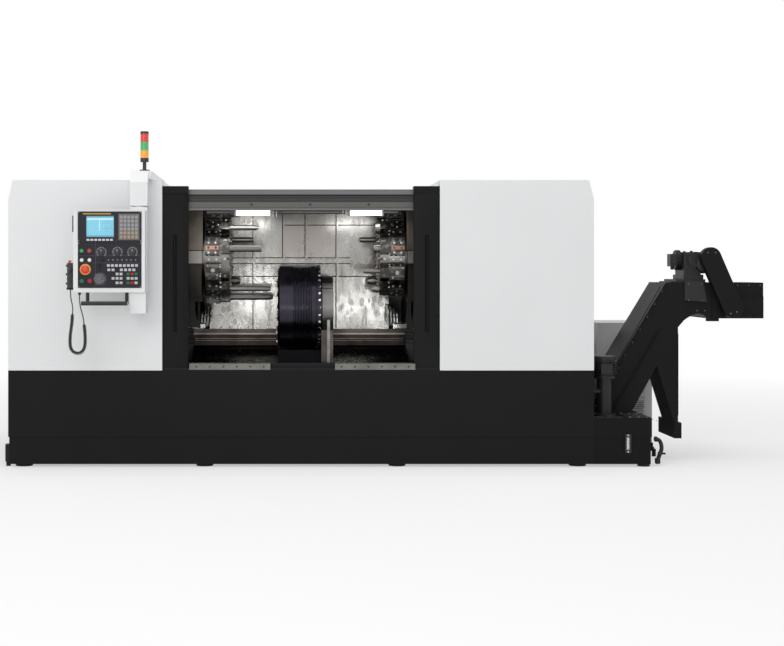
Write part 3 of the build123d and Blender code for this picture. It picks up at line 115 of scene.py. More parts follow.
# Plain plastics: colour and roughness
PLASTICS = {
    "button_green": ((0.02, 0.34, 0.10), 0.25),
    "button_red": ((0.56, 0.03, 0.03), 0.25),
    "collar_amber": ((0.80, 0.36, 0.02), 0.4),
    "cord_black": ((0.016, 0.016, 0.017), 0.42),
    "dial_black": ((0.020, 0.020, 0.022), 0.38),
    # Near-black for holes and seam lines, and also for the painted shadow lines on the wall
    "hole_seam_and_shadow_black": ((0.006, 0.006, 0.006), 0.6),
    "mark_white": ((0.62, 0.63, 0.63), 0.5),
    "remote_black": ((0.020, 0.020, 0.021), 0.45),
    "stop_red": ((0.66, 0.05, 0.025), 0.28),
    "tower_black": ((0.018, 0.018, 0.020), 0.38),
    "vent_dark": ((0.035, 0.036, 0.037), 0.7),
    "wheel_grey": ((0.12, 0.12, 0.13), 0.3),
}


class Value:
    """A number socket with arithmetic: every operator adds one Math node and gives its result."""

    def __init__(self, nodes, socket):
        self.nodes = nodes
        self.socket = socket

    def __add__(self, other):
        return self.nodes.math("ADD", self, other)

    def __sub__(self, other):
        return self.nodes.math("SUBTRACT", self, other)

    def __rsub__(self, other):
        return self.nodes.math("SUBTRACT", other, self)

    def __mul__(self, other):
        return self.nodes.math("MULTIPLY", self, other)

    def __mod__(self, other):
        return self.nodes.math("FLOORED_MODULO", self, other)

    def __pow__(self, other):
        return self.nodes.math("POWER", self, other)

    def __gt__(self, other):
        return self.nodes.math("GREATER_THAN", self, other)

    def __lt__(self, other):
        return self.nodes.math("LESS_THAN", self, other)

    def __or__(self, other):
        return self.nodes.math("MAXIMUM", self, other)

    def __abs__(self):
        return self.nodes.math("ABSOLUTE", self)

    __radd__ = __add__


class Nodes:
    """The node tree of a material or a world, and its first shader."""

    def __init__(self, owner, shader):
        owner.use_nodes = True
        self.tree = owner.node_tree
        self.shader = self.tree.nodes[shader]

    def node(self, kind, settings=None, inputs=None):
        """A node of a kind, with its settings made first and then the values or links of its sockets."""
        made = self.tree.nodes.new(kind)
        for key, value in (settings or {}).items():
            setattr(made, key, value)
        for key, value in (inputs or {}).items():
            self.feed(made.inputs[key], value)
        return made

    def feed(self, socket, value):
        """Links a value or a socket to a socket, or sets a constant on it."""
        if isinstance(value, Value):
            self.tree.links.new(value.socket, socket)
        elif isinstance(value, bpy.types.NodeSocket):
            self.tree.links.new(value, socket)
        else:
            socket.default_value = value

    def set(self, name, value):
        """Feeds one of the shader's own sockets."""
        self.feed(self.shader.inputs[name], value)

    def math(self, operation, *values):
        """The result of one Math node."""
        made = self.node("ShaderNodeMath", {"operation": operation}, dict(enumerate(values)))
        return Value(self, made.outputs[0])

    def seen(self):
        """1 for rays of the camera, of gloss and through glass, else 0."""
        ray = self.node("ShaderNodeLightPath").outputs
        camera, gloss, clear = (Value(self, ray[f"Is {kind} Ray"]) for kind in ("Camera", "Glossy", "Transmission"))
        return camera | gloss | clear

    def blend(self, share, over, output):
        """Lays a second shader over the first by a share, and sends both to the output node."""
        mixed = self.node("ShaderNodeMixShader", {}, {0: share, 1: self.shader.outputs[0], 2: over.outputs[0]})
        self.tree.links.new(mixed.outputs[0], self.tree.nodes[output].inputs["Surface"])


class Finish(Nodes):
    """A material being made: its node tree, its shader, and Object coordinates as three values."""

    def __init__(self, name, color, roughness=0.5, metallic=0.0, specular=0.5, coat=0.0):
        self.material = bpy.data.materials.new("lathe " + name)
        super().__init__(self.material, "Principled BSDF")
        self.set("Base Color", opaque(color))
        self.set("Roughness", roughness)
        self.set("Metallic", metallic)
        self.set("Specular IOR Level", specular)
        self.set("Coat Weight", coat)
        self.set("Coat Roughness", 0.12)
        self.place = self.node("ShaderNodeTexCoord").outputs["Object"]
        parts = self.node("ShaderNodeSeparateXYZ", {}, {0: self.place})
        self.x, self.y, self.z = (Value(self, out) for out in parts.outputs)

    def mix(self, factor, first, second):
        """A colour between two colours: the first at 0, the second at 1."""
        inputs = {0: factor, 6: opaque(first), 7: opaque(second)}
        return self.node("ShaderNodeMix", {"data_type": "RGBA"}, inputs).outputs[2]

    def layered(self, tone, *layers):
        """A colour with others laid over it in turn, each by its own mask."""
        for mask, color in layers:
            tone = self.mix(mask, tone, color)
        return tone

    def stretched(self, stretch):
        """The piece's coordinates, each multiplied by its own number."""
        made = self.node("ShaderNodeVectorMath", {"operation": "MULTIPLY"}, {0: self.place, 1: stretch})
        return made.outputs[0]

    def noise(self, scale, detail=2.0, stretch=(1.0, 1.0, 1.0)):
        """Soft noise from 0 to 1 over the piece."""
        inputs = {"Vector": self.stretched(stretch), "Scale": scale, "Detail": detail}
        return Value(self, self.node("ShaderNodeTexNoise", {}, inputs).outputs[0])

    def cells(self, scale, stretch):
        """Distance to the nearest of many scattered points."""
        inputs = {"Vector": self.stretched(stretch), "Scale": scale}
        return Value(self, self.node("ShaderNodeTexVoronoi", {}, inputs).outputs["Distance"])

    def ramp(self, value, low, high):
        """0 below low, 1 above high, and straight between."""
        inputs = {0: value, 1: low, 2: high}
        return Value(self, self.node("ShaderNodeMapRange", {"clamp": True}, inputs).outputs[0])

    def inside(self, x0, x1, z0, z1):
        """1 in an upright rectangle seen from the front, else 0."""
        return (self.x > x0) * (self.x < x1) * (self.z > z0) * (self.z < z1)

    def keys(self, *corners, wide=0.020):
        """1 in small keys, each from its lower left corner."""
        return any_of(self.inside(x, x + wide, z, z + 0.020) for x, z in corners)

    def discs(self, *centres, radius=0.0125):
        """1 in circles seen from the front, else 0."""
        return any_of(
            ((self.x - x) * (self.x - x) + (self.z - z) * (self.z - z)) < radius * radius for x, z in centres
        )

    def bump(self, height, depth):
        """Raises the surface by height times depth metres."""
        inputs = {"Height": height, "Distance": depth, "Strength": 1.0}
        self.set("Normal", self.node("ShaderNodeBump", {}, inputs).outputs[0])


def opaque(color):
    """A colour as a socket value with full alpha; a socket stays as it is."""
    return color if isinstance(color, bpy.types.NodeSocket) else (*color[:3], 1.0)


def any_of(masks):
    """1 where one or more of the masks is 1."""
    return reduce(lambda first, second: first | second, masks)


def finished(name):
    """A finish by its short name: one that a step has made, or a plain one, made here on its first use."""
    made = bpy.data.materials.get("lathe " + name)
    if made is None:
        made = steel(name, *STEELS[name]) if name in STEELS else plastic(name, *PLASTICS[name])
    return made


def shade(color, factor):
    """A colour made lighter or darker, by one factor or by one for each channel."""
    return np.minimum(np.multiply(color, factor), 1.0).tolist()


def paint(name, color, roughness, specular, grain=0.00006, soil=0.06, lined=False):
    """Sprayed or powder paint: fine orange peel, and a slightly uneven gloss and tone."""
    made = Finish(name, color, roughness, 0.0, specular)
    cloud = made.noise(1.7, 4.0)
    fine = made.noise(420.0, 2.0)
    tone = made.mix(made.ramp(cloud, 0.3, 0.7), shade(color, 1 - soil), shade(color, 1 + soil))
    made.set("Base Color", rear_lines(made, tone) if lined else tone)
    made.set("Roughness", roughness + (cloud - 0.5) * 0.12 + (fine - 0.5) * 0.05)
    made.bump(fine, grain)
    return made.material


def plastic(name, color, roughness):
    """Moulded plastic with a fine grain."""
    made = Finish(name, color, roughness)
    fine = made.noise(900.0, 1.0)
    made.set("Roughness", roughness + (fine - 0.5) * 0.1)
    made.bump(fine, 0.00003)
    return made.material


def steel(name, color, roughness, lines, stain):
    """Machined or brushed steel: fine lines along one direction, and dull oily patches."""
    made = Finish(name, color, roughness, 1.0)
    brush = made.noise(6.0, 3.0, lines)
    patch = made.ramp(made.noise(9.0, 5.0), 0.42, 0.66)
    tone = made.mix(patch, shade(color, 1.0 + stain * 0.4), shade(color, 1.0 - stain))
    made.set("Base Color", made.mix(brush, tone, shade(color, 1.12)))
    made.set("Roughness", roughness + (brush - 0.5) * 0.16 + patch * 0.1)
    made.bump(brush, 0.00005)
    return made.material


def cast(name, color):
    """Painted casting: a coarse skin under thick paint."""
    made = Finish(name, color, 0.5, 0.0, 0.4)
    skin = made.noise(90.0, 4.0)
    made.set("Roughness", 0.5 + (skin - 0.5) * 0.2)
    made.bump(skin, 0.0004)
    return made.material


def washed_steel(name, color):
    """Stainless sheet: upright brushing, run marks of coolant, splashes, a dull film and a redder middle."""
    made = Finish(name, color, 0.3, 1.0)
    brush = made.noise(5.0, 3.0, (160.0, 160.0, 3.0))
    runs = made.ramp(made.noise(6.0, 4.0, (4.0, 4.0, 0.8)), 0.50, 0.66)
    drops = made.cells(26.0, (1.0, 1.0, 0.7))
    splash = made.ramp(drops, 0.46, 0.40) * made.ramp(made.noise(3.2, 4.0), 0.45, 0.58)
    film = made.ramp(made.noise(2.6, 6.0), 0.38, 0.66)
    middle = made.inside(-0.697, -0.323, 1.342, 1.575)
    made.set("Base Color", made.layered(
        shade(color, 1.12), (film, shade(color, (0.78, 0.76, 0.72))), (runs * 0.35, shade(color, 0.66)),
        (middle * 0.5, shade(color, (0.98, 0.86, 0.84))), (splash * 0.3, shade(color, 1.25)),
    ))
    made.set("Roughness", 0.14 + brush * 0.06 + film * 0.10 + splash * 0.08 + runs * 0.05)
    made.bump(brush * 0.2 + splash * 0.2 + film * 0.4, 0.00006)
    return made.material


def guard_sheets(name):
    """The slide's guards from the front: brown-grey sheet above, a paler box, then a dark box."""
    made = Finish(name, (0.13, 0.112, 0.094), 0.36, 1.0)
    brush = made.noise(6.0, 3.0, (160.0, 160.0, 1.0))
    film = made.ramp(made.noise(4.0, 5.0), 0.4, 0.66)
    above = made.mix(film, (0.17, 0.148, 0.126), (0.085, 0.072, 0.060))
    paler = made.mix(film, (0.27, 0.255, 0.235), (0.19, 0.178, 0.162))
    below = made.mix(film, (0.042, 0.037, 0.033), (0.026, 0.023, 0.021))
    made.set("Base Color", made.layered(
        above, (made.z < 1.390, paler), (made.z < 1.305, below),
        (abs(made.z - 1.390) < 0.003, (0.02, 0.018, 0.016)),
    ))
    made.set("Roughness", 0.30 + brush * 0.12 + film * 0.12)
    made.bump(brush, 0.00005)
    return made.material


def held_tools(name, dark, bar):
    """Blackened holder blocks whose bars and drills, between the two turret faces, are bare steel."""
    made = Finish(name, dark, 0.3, 1.0)
    brush = made.noise(6.0, 3.0, (6.0, 120.0, 120.0))
    worn = made.ramp(made.noise(34.0, 4.0), 0.50, 0.62)
    shank = (made.x > -1.047) * (made.x < -0.054)
    block = made.mix(worn, dark, shade(dark, 2.6))
    made.set("Base Color", made.mix(shank, block, made.mix(brush, bar, shade(bar, 1.5))))
    made.set("Roughness", 0.26 + brush * 0.14 + worn * 0.08)
    made.bump(brush, 0.00005)
    return made.material


def headstock_paint(name, color):
    """Black casting: a dark cap and a bare sheet on its upper right part."""
    made = Finish(name, color, 0.42, 0.0, 0.04)
    skin = made.noise(90.0, 4.0)
    sheet = (made.x > -0.4432) * (made.z > 0.862) * (made.y < -0.05)
    cap = (made.z > 1.172) | (abs(made.z - 1.138) < 0.004)
    brush = made.noise(5.0, 3.0, (120.0, 120.0, 3.0))
    bare = made.mix(brush, (0.15, 0.148, 0.14), (0.24, 0.236, 0.225))
    made.set("Base Color", made.mix(sheet, color, made.mix(cap, bare, (0.055, 0.053, 0.050))))
    made.set("Metallic", sheet * 0.9)
    made.set("Roughness", 0.42 + (skin - 0.5) * 0.2 - sheet * 0.06)
    made.bump(skin * (1.0 - sheet), 0.0003)
    return made.material


def arm_paint(name, color):
    """Plain white paint with an uneven gloss."""
    made = Finish(name, color, 0.40, 0.0, 0.3)
    made.set("Roughness", 0.40 + (made.noise(1.7, 4.0) - 0.5) * 0.1)
    return made.material


def lit(name, face, roughness, specular, coat, color, strength):
    """A lit surface: the colour that it shows and the colour that it gives."""
    made = Finish(name, face, roughness, 0.0, specular, coat)
    made.set("Emission Color", opaque(color))
    made.set("Emission Strength", strength)
    return made.material


def lens(name, color):
    """A coloured lens, a little lit from inside."""
    return lit(name, color, 0.16, 0.6, 0.3, color, 0.12)


def window_glass(name):
    """Clear safety window: a thin see-through sheet with a clean gloss."""
    made = Finish(name, (0.70, 0.76, 0.76), 0.04, 0.0, 0.6)
    made.set("Alpha", 0.28)
    return made.material


def display(name):
    """The lit display: a blue field with a lighter head bar, pale rows without words, and a side column."""
    made = Finish(name, (0.10, 0.30, 0.40), 0.12, 0.0, 0.6)
    x0, x1, z0, z1 = -1.922, -1.751, 1.467, 1.598
    field, light, deep = (0.20, 0.56, 0.70), (0.62, 0.86, 0.93), (0.05, 0.24, 0.40)
    row = (made.z % 0.0115) < 0.0042
    word = made.noise(140.0, 0.0, (1.0, 0.0, 0.35)) > 0.47
    body = made.inside(x0 + 0.010, x1 - 0.062, z0 + 0.016, z1 - 0.024)
    side = made.inside(x1 - 0.054, x1 - 0.006, z0 + 0.016, z1 - 0.024)
    head = made.inside(x0, x1, z1 - 0.010, z1)
    title = made.inside(x0 + 0.004, x1 - 0.004, z1 - 0.026, z1 - 0.012)
    column = made.inside(x0 + 0.078, x0 + 0.084, z0 + 0.040, z1 - 0.028)
    foot = made.inside(x0, x1, z0, z0 + 0.010)
    made.set("Emission Color", made.layered(
        field, (body * row * word * 0.45, light), (side * 0.25, deep), (side * row * word * 0.5, light),
        (title | column, (0.80, 0.96, 0.97)), (head | foot, deep),
    ))
    made.set("Emission Strength", 0.55)
    return made.material


def pendant_paint(name, color):
    """White case paint, with the tube handle and the side grip in black."""
    made = Finish(name, color, 0.4, 0.0, 0.35)
    handle = (made.z < 1.1205) * (made.x < -1.660) * (made.y < -0.990)
    side = made.x < -2.0045
    dark = handle | (side * (made.z > 1.45)) | (side * (made.z < 1.20))
    made.set("Base Color", made.mix(dark, color, (0.016, 0.016, 0.017)))
    return made.material


def sill_paint(name, color):
    """Black sill whose two inner ledges are bare sheet."""
    made = Finish(name, color, 0.45, 0.0, 0.2)
    ledge = ((made.x > -1.297) * (made.x < -0.777)) | ((made.x > -0.361) * (made.x < 0.153))
    ledge = ledge * (made.z > 0.6215)
    bare = made.mix(made.noise(5.0, 3.0, (3.0, 120.0, 120.0)), (0.10, 0.102, 0.095), (0.16, 0.162, 0.150))
    made.set("Base Color", made.mix(ledge, color, bare))
    made.set("Metallic", ledge * 0.9)
    made.set("Roughness", 0.5 - ledge * 0.14)
    return made.material


def header_paint(name, edge):
    """The header's folded bars: light edge, black gap, dark bars and a paler panel above the opening."""
    made = Finish(name, edge, 0.4, 0.0, 0.25)
    gap = (made.z < 1.7475) * (made.z > 1.7385)
    bars = (made.z < 1.7385) * (made.z > 1.698)
    panel = (made.z < 1.698) * (made.z > 1.657)
    fold = (abs(made.z - 1.7185) < 0.003) | (abs(made.z - 1.7035) < 0.0025)
    made.set("Base Color", made.layered(
        edge, (gap, (0.006, 0.006, 0.006)), (bars, (0.030, 0.030, 0.031)), (fold, (0.075, 0.075, 0.075)),
        (panel, (0.115, 0.112, 0.105)),
    ))
    return made.material


def rear_lines(made, tone):
    """Plain panel joints and vent slots on the rear faces, as dark lines."""
    line, low, high = 0.006, 0.71, 1.67
    vented = ((-1.39, -0.65), (-0.57, 0.21), (0.43, 1.18))
    masks = [made.inside(x0 + 0.14, x1 - 0.14, 0.80, 1.06) * ((made.z % 0.030) < 0.011) for x0, x1 in vented]
    for x0, x1 in ((-2.34, -1.59), *vented):
        within = made.inside(x0 + line, x1 - line, low + line, high - line)
        masks.append(made.inside(x0, x1, low, high) - within)
    return made.mix(any_of(masks) * (made.y > BACK - 0.003), tone, (0.10, 0.10, 0.10))


def keyed_panel(name, ground):
    """The operator panel: dark fascia with pale, green and red keys told apart by their place."""
    made = Finish(name, ground, 0.5, 0.0, 0.14)
    raised = made.y < PENDANT_FRONT - 0.0034
    bare = made.keys((-1.742, 1.252), (-1.768, 1.226), (-1.768, 1.171), wide=0.024)
    pads = made.inside(-1.800, -1.600, 1.170, 1.300) * raised * (1.0 - bare)
    lamps = made.inside(-1.800, -1.600, 1.315, 1.333) * raised
    white = made.discs((-1.951, 1.323), (-1.903, 1.323)) * raised
    green = made.discs((-1.951, 1.192)) | made.keys((-1.672, 1.226), (-1.672, 1.171), (-1.622, 1.226))
    red = made.discs((-1.901, 1.192)) | made.keys((-1.647, 1.226), (-1.647, 1.171))
    lines = any_of(abs(place) < 0.0006 for place in (made.z - 1.306, made.z - 1.350, made.x + 1.866))
    made.set("Base Color", made.layered(
        ground, (pads, made.mix(made.noise(60.0, 1.0), (0.36, 0.37, 0.39), (0.62, 0.63, 0.65))),
        (lamps, (0.30, 0.30, 0.30)), (white, (0.74, 0.75, 0.74)), (green * raised, (0.01, 0.20, 0.07)),
        (red * raised, (0.52, 0.02, 0.03)), (lines * (1.0 - raised), (0.12, 0.12, 0.15)),
    ))
    return made.material


def keyed_unit(name, ground):
    """The display unit: dark bezel, grey keypad and soft keys, and one plain yellow strip."""
    made = Finish(name, ground, 0.46, 0.0, 0.14)
    raised = made.y < PENDANT_FRONT - 0.0074
    pad = made.inside(-1.720, -1.595, 1.450, 1.610) * raised
    soft = made.inside(-1.925, -1.750, 1.440, 1.458) * raised
    strip = made.inside(-1.945, -1.768, 1.606, 1.617) * raised
    back = made.inside(-1.722, -1.592, 1.448, 1.612) * (made.y < PENDANT_FRONT - 0.0064)
    made.set("Base Color", made.layered(
        ground, (back, (0.16, 0.155, 0.155)), (pad, made.mix(made.z < 1.505, (0.32, 0.31, 0.31), (0.36, 0.29, 0.22))),
        (soft, (0.60, 0.60, 0.62)), (strip, (0.42, 0.26, 0.04)),
    ))
    return made.material


def gauge(name, pale, dark):
    """The sight gauge: a pale window with level marks in a dark frame."""
    made = Finish(name, pale, 0.25)
    middle = made.inside(1.5035, 1.5205, 0.112, 0.189)
    marks = ((made.z % 0.013) < 0.0028) * (made.x > 1.512)
    made.set("Base Color", made.mix(middle, dark, made.mix(marks, pale, (0.08, 0.08, 0.08))))
    return made.material


# Meshes

# Angles in degrees above which an edge is sharp, on fittings and on CAD nodes
FITTING_CREASE, NODE_CREASE = 35.0, 32.0

# Profile of a domed head: (height, radius) as shares of the head's own
DOME = ((0.0, 1.0), (0.25, 1.0), (0.6, 0.86), (0.85, 0.6), (1.0, 0.25))


class Batch:
    """Many closed skins gathered into one mesh."""

    def __init__(self):
        self.points = []
        self.faces = []
        self.count = 0

    def loft(self, rings):
        """Skins an array of rings, K by N by 3: quads between neighbours, and one face over each end."""
        rings = np.asarray(rings, dtype=float)
        k, n = rings.shape[:2]
        grid = np.arange(k * n).reshape(k, n) + self.count
        after = np.roll(grid, -1, axis=1)
        quads = np.stack((grid[:-1], after[:-1], after[1:], grid[1:]), axis=-1).reshape(-1, 4)
        self.faces += quads.tolist()
        self.faces.append(grid[0, ::-1].tolist())
        self.faces.append(grid[-1].tolist())
        self.points.append(rings.reshape(-1, 3))
        self.count += k * n

    def box(self, low, high):
        """A plain block between two corners, as two rings of four points."""
        (x0, y0, z0), (x1, y1, z1) = low, high
        ring = np.array(((x0, y0), (x1, y0), (x1, y1), (x0, y1)))
        self.loft([np.column_stack((ring, np.full(4, z))) for z in (z0, z1)])

    def turned(self, centre, axis, profile, sides=24):
        """A shape turned about an axis: each (height, radius) of the profile gives one ring round the axis."""
        height, radius = np.asarray(profile, dtype=float).T
        axis = np.asarray(axis, dtype=float)
        side = np.cross(axis, (0.0, 0.0, 1.0) if abs(axis[2]) < 0.9 else (1.0, 0.0, 0.0))
        side /= np.linalg.norm(side)
        circle = circle_points(side, np.cross(axis, side), sides)
        rings = radius[:, None, None] * circle + height[:, None, None] * axis
        self.loft(rings + np.asarray(centre, dtype=float))

    def rod(self, centre, axis, radius, length, sides):
        """A plain cylinder from one end's centre."""
        self.turned(centre, axis, ((0.0, radius), (length, radius)), sides)

    def screws(self, places, axis, radius, rise, sides=10):
        """Low domed screw heads: the dome's profile turned about the axis at each place."""
        for place in places:
            self.turned(place, axis, [(h * rise, r * radius) for h, r in DOME], sides)

    def bolt(self, place, axis, radius, rise):
        """A socket screw's head: a short cylinder with a sunken middle, turned about the axis."""
        profile = [(h * rise, r * radius) for h, r in ((0.8, 1.0), (1.0, 0.86), (1.0, 0.55), (0.4, 0.5))]
        self.turned(place, axis, ((-0.002, radius), *profile), 12)

    def pad(self, centre, half, rise, axis, power=5.0, sides=28):
        """A cushion-edged plate: superellipse rings |u/a|^p + |v/b|^p = 1 that shrink as they rise."""
        angle = np.linspace(0, 2 * pi, sides, endpoint=False)
        c, s = np.cos(angle), np.sin(angle)
        u = half[0] * np.sign(c) * np.abs(c) ** (2 / power)
        v = half[1] * np.sign(s) * np.abs(s) ** (2 / power)
        edge = min(half) * 0.12
        rings = []
        for lift, inset in ((0.0, 0.0), (0.6, 0.0), (0.9, 0.4), (1.0, 1.0)):
            across, along = u * (1 - inset * edge / half[0]), v * (1 - inset * edge / half[1])
            flat = np.full(sides, rise * lift)
            order = {"y": (across, -flat, along), "x": (flat, across, along), "z": (across, along, flat)}[axis]
            rings.append(np.column_stack(order) + np.asarray(centre))
        self.loft(rings)

    def tube(self, path, radius, sides):
        """A round tube along a line of points: at each point a ring stands square to the line."""
        path = np.asarray(path, dtype=float)
        run = np.gradient(path, axis=0)
        run /= np.linalg.norm(run, axis=1)[:, None]
        up = np.array((0.0, 0.0, 1.0)) if np.abs(run[:, 2]).max() < 0.9 else np.array((0.31, 0.9, 0.17))
        side = np.cross(run, up)
        side /= np.linalg.norm(side, axis=1)[:, None]
        self.loft(path[:, None] + radius * circle_points(side[:, None], np.cross(run, side)[:, None], sides))

    def frame(self, x0, x1, z0, z1, y, width, depth):
        """A flat rectangular ring seen from the front: a square profile carried round four corners."""
        corners = []
        for inset, at in ((0.0, y), (0.0, y - depth), (width, y - depth), (width, y)):
            left, right, low, high = x0 + inset, x1 - inset, z0 + inset, z1 - inset
            corners += [(left, at, low), (right, at, low), (right, at, high), (left, at, high)]
        for ring in range(4):
            for i in range(4):
                a, b, j = ring * 4, (ring + 1) % 4 * 4, (i + 1) % 4
                self.faces.append([self.count + at for at in (a + i, a + j, b + j, b + i)])
        self.points.append(np.array(corners))
        self.count += 16

    def tick(self, centre, angle, radius, reach, half):
        """A thin mark seen from the front, at an angle round a dial and pointing outwards."""
        a = radians(angle)
        out, across = np.array((sin(a), 0.0, cos(a))), half * np.array((cos(a), 0.0, -sin(a)))
        place, out = centre + radius * out, reach * out
        ring = np.array((place - out - across, place + out - across, place + out + across, place - out + across))
        self.loft([ring, ring + np.array((0.0, -0.0004, 0.0))])

    def build(self, name, slot, material, body="machine"):
        """The finished piece: merged, its faces turned outwards, its sharp edges marked, riding on its body."""
        mesh = bpy.data.meshes.new(name)
        mesh.from_pydata(np.concatenate(self.points).tolist(), [], self.faces)
        shape = welded(mesh, 1e-6)
        bmesh.ops.recalc_face_normals(shape, faces=shape.faces)
        mark_edges(shape, mesh, FITTING_CREASE, False)
        coat_mesh(mesh, material)
        piece = placed(name, mesh)
        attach(piece, body)


def circle_points(side, other, sides):
    """Points round a circle of radius 1 in the plane of two directions."""
    angle = np.linspace(0, 2 * pi, sides, endpoint=False)[:, None]
    return np.cos(angle) * side + np.sin(angle) * other


def welded(mesh, distance):
    """A mesh opened for editing, with its doubled points merged."""
    shape = bmesh.new()
    shape.from_mesh(mesh)
    bmesh.ops.remove_doubles(shape, verts=shape.verts, dist=distance)
    return shape


def mark_edges(shape, mesh, angle, loose):
    """Smooths the faces and marks the edges sharper than an angle, loose edges as told; then fills the mesh."""
    for face in shape.faces:
        face.smooth = True
    for edge in shape.edges:
        edge.smooth = edge.calc_face_angle(pi) <= radians(angle) if edge.is_manifold else loose
    shape.to_mesh(mesh)
    shape.free()


def coat_mesh(mesh, material):
    """Gives a mesh one material, which may be told by its short name."""
    mesh.materials.clear()
    mesh.materials.append(finished(material) if isinstance(material, str) else material)


def coat_node(node, material):
    """Gives a CAD node its material."""
    coat_mesh(FRAME["nodes"][node].data, material)


def placed(name, data):
    """A new object in the scene, at the origin."""
    made = bpy.data.objects.new(name, data)
    bpy.context.scene.collection.objects.link(made)
    return made


def softened(node, material, width=0.0012):
    """Stands a merged copy with eased edges in for a CAD node: flat areas become whole faces, then a bevel."""
    mesh = FRAME["nodes"][node].data.copy()
    shape = welded(mesh, 2e-5)
    bmesh.ops.dissolve_limit(shape, angle_limit=radians(0.5), verts=shape.verts, edges=shape.edges)
    mark_edges(shape, mesh, NODE_CREASE, True)
    if "custom_normal" in mesh.attributes:
        mesh.attributes.remove(mesh.attributes["custom_normal"])
    coat_mesh(mesh, material)
    piece = placed(node + "_skin", mesh)
    bevel = piece.modifiers.new("eased edges", "BEVEL")
    bevel.width = width
    bevel.segments = 2
    bevel.limit_method = "ANGLE"
    bevel.angle_limit = radians(NODE_CREASE)
    bevel.harden_normals = True
    bevel.use_clamp_overlap = True
    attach(piece, BODY_OF[node])
    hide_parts(node)


def spread(first, last, count):
    """Evenly spaced numbers from first to last."""
    return np.linspace(first, last, count).tolist()


# Settings a user would change


def color_setting(name, words, value):
    """A colour in the panel."""
    return bpy.props.FloatVectorProperty(
        name=name, description=words, subtype="COLOR", size=3, min=0.0, max=1.0, default=value
    )


def length_setting(name, words, value):
    """A length in the panel."""
    return bpy.props.FloatProperty(name=name, description=words, subtype="DISTANCE", unit="LENGTH", default=value)


def power_setting(name, words, value):
    """A lamp's power in the panel."""
    return bpy.props.FloatProperty(name=name, description=words, subtype="POWER", default=value)


class LathePaint(bpy.types.PropertyGroup):
    """Colours of the machine."""

    black: color_setting("Black paint", "Base, doors, conveyor and tank", (0.0072, 0.0072, 0.0080))
    white: color_setting("White paint", "Housings, roof and pendant", (0.765, 0.775, 0.78))
    cabinet: color_setting("Cabinet grey", "Ventilated unit cabinet", (0.55, 0.56, 0.55))
    header: color_setting("Header edge", "Upper edge of the beam over the opening", (0.16, 0.16, 0.163))
    stainless: color_setting("Stainless walls", "Sheet inside the work area", (0.215, 0.212, 0.203))
    fascia: color_setting("Pendant fascia", "Front of the pendant", (0.027, 0.026, 0.033))


class LatheFittings(bpy.types.PropertyGroup):
    """Sizes of small fittings and of the coiled lead."""

    lead: length_setting("Lead thickness", "Thickness of the handwheel's lead", 0.007)
    coil: length_setting("Coil radius", "From the coil's middle to the lead's middle", 0.0085)
    pitch: length_setting("Coil pitch", "From one turn of the coil to the next", 0.0098)
    screw: length_setting("Screw head", "Radius of the sill screws' heads", 0.006)
    edge: length_setting("Edge ease", "Width of the eased edges of folded sheet", 0.0016)


class LatheStudio(bpy.types.PropertyGroup):
    """Light and ground."""

    sky: bpy.props.FloatProperty(name="Sky", description="Strength of the even light", default=0.58, min=0.0)
    key: power_setting("Key lamp", "Power of the large front lamp", 245.0)
    top: power_setting("Top lamp", "Power of the large top lamp", 215.0)
    inner: power_setting("Work lamps", "Power of each work lamp", 0.6)
    flash: power_setting("Front flashes", "Power of each small front lamp", 11.0)
    ground: color_setting("Ground", "Colour of the floor", (0.86, 0.86, 0.86))


# Operators


class LatheOperator(bpy.types.Operator):
    """Common ground of the operators."""

    bl_options = {"REGISTER", "UNDO"}


def dress(*rows):
    """Eases and coats CAD nodes: each row is a material, the width of the edges, and the nodes."""
    for material, width, *nodes in rows:
        for node in nodes:
            softened(node, material, width)


class LATHE_OT_shell(LatheOperator):
    """Eases and paints the base, housings, roof, header, doors and pendant case"""

    bl_idname = "lathe.shell"
    bl_label = "Painted shell"

    def execute(self, context):
        colors = context.scene.lathe_paint
        edge = context.scene.lathe_fittings.edge
        black = paint("satin_black", colors.black, 0.5, 0.12, 0.00009, 0.1)
        plinth = paint("plinth_black", shade(colors.black, 0.75), 0.55, 0.12, 0.00012, 0.15)
        white = paint("housing_white", colors.white, 0.40, 0.3, 0.00004, 0.012, lined=True)
        grey = paint("cabinet_grey", colors.cabinet, 0.5, 0.4, 0.0001, 0.02)
        dress(
            (white, edge, "left_housing", "right_housing", "roof_and_rear_cover"),
            (arm_paint("arm_white", colors.white), edge, "pendant_arm"),
            (pendant_paint("pendant_white", colors.white), 0.0008, "pendant_case"),
            (sill_paint("sill_black", colors.black), edge, "door_sill"),
            (black, edge, "base", "left_door", "right_door", "conveyor_casing", "discharge_chute", "chain_guard"),
            (plinth, edge, "coolant_tank"),
            (header_paint("header_grey", colors.header), edge, "header_beam"),
            (grey, edge, "unit_cabinet", "unit_cabinet_cover"),
        )
        return {"FINISHED"}


class LATHE_OT_work_area(LatheOperator):
    """Finishes the stainless walls, ceiling, chip tray, slides and lamps of the work area"""

    bl_idname = "lathe.work_area"
    bl_label = "Work area"

    def execute(self, context):
        wall = washed_steel("washed_stainless", context.scene.lathe_paint.stainless)
        tray = washed_steel("tray_steel", (0.125, 0.138, 0.130))
        guard = guard_sheets("guard_steel")
        cover = paint("way_cover", (0.060, 0.055, 0.050), 0.4, 0.4)
        dress((wall, 0.0006, "back_wall_panels"), (wall, 0.0008, "work_area_ceiling"), (tray, 0.0012, "chip_tray"))
        for side in ("left", "right"):
            dress((guard, 0.0012, side + "_cross_slide"), (cover, 0.0015, side + "_carriage"))
        tube = lit("lamp_tube", (0.9, 0.93, 0.95), 0.4, 0.5, 0.0, (1.0, 1.0, 0.97), 1.6)
        coat_node("lamp_tubes", tube)
        return {"FINISHED"}


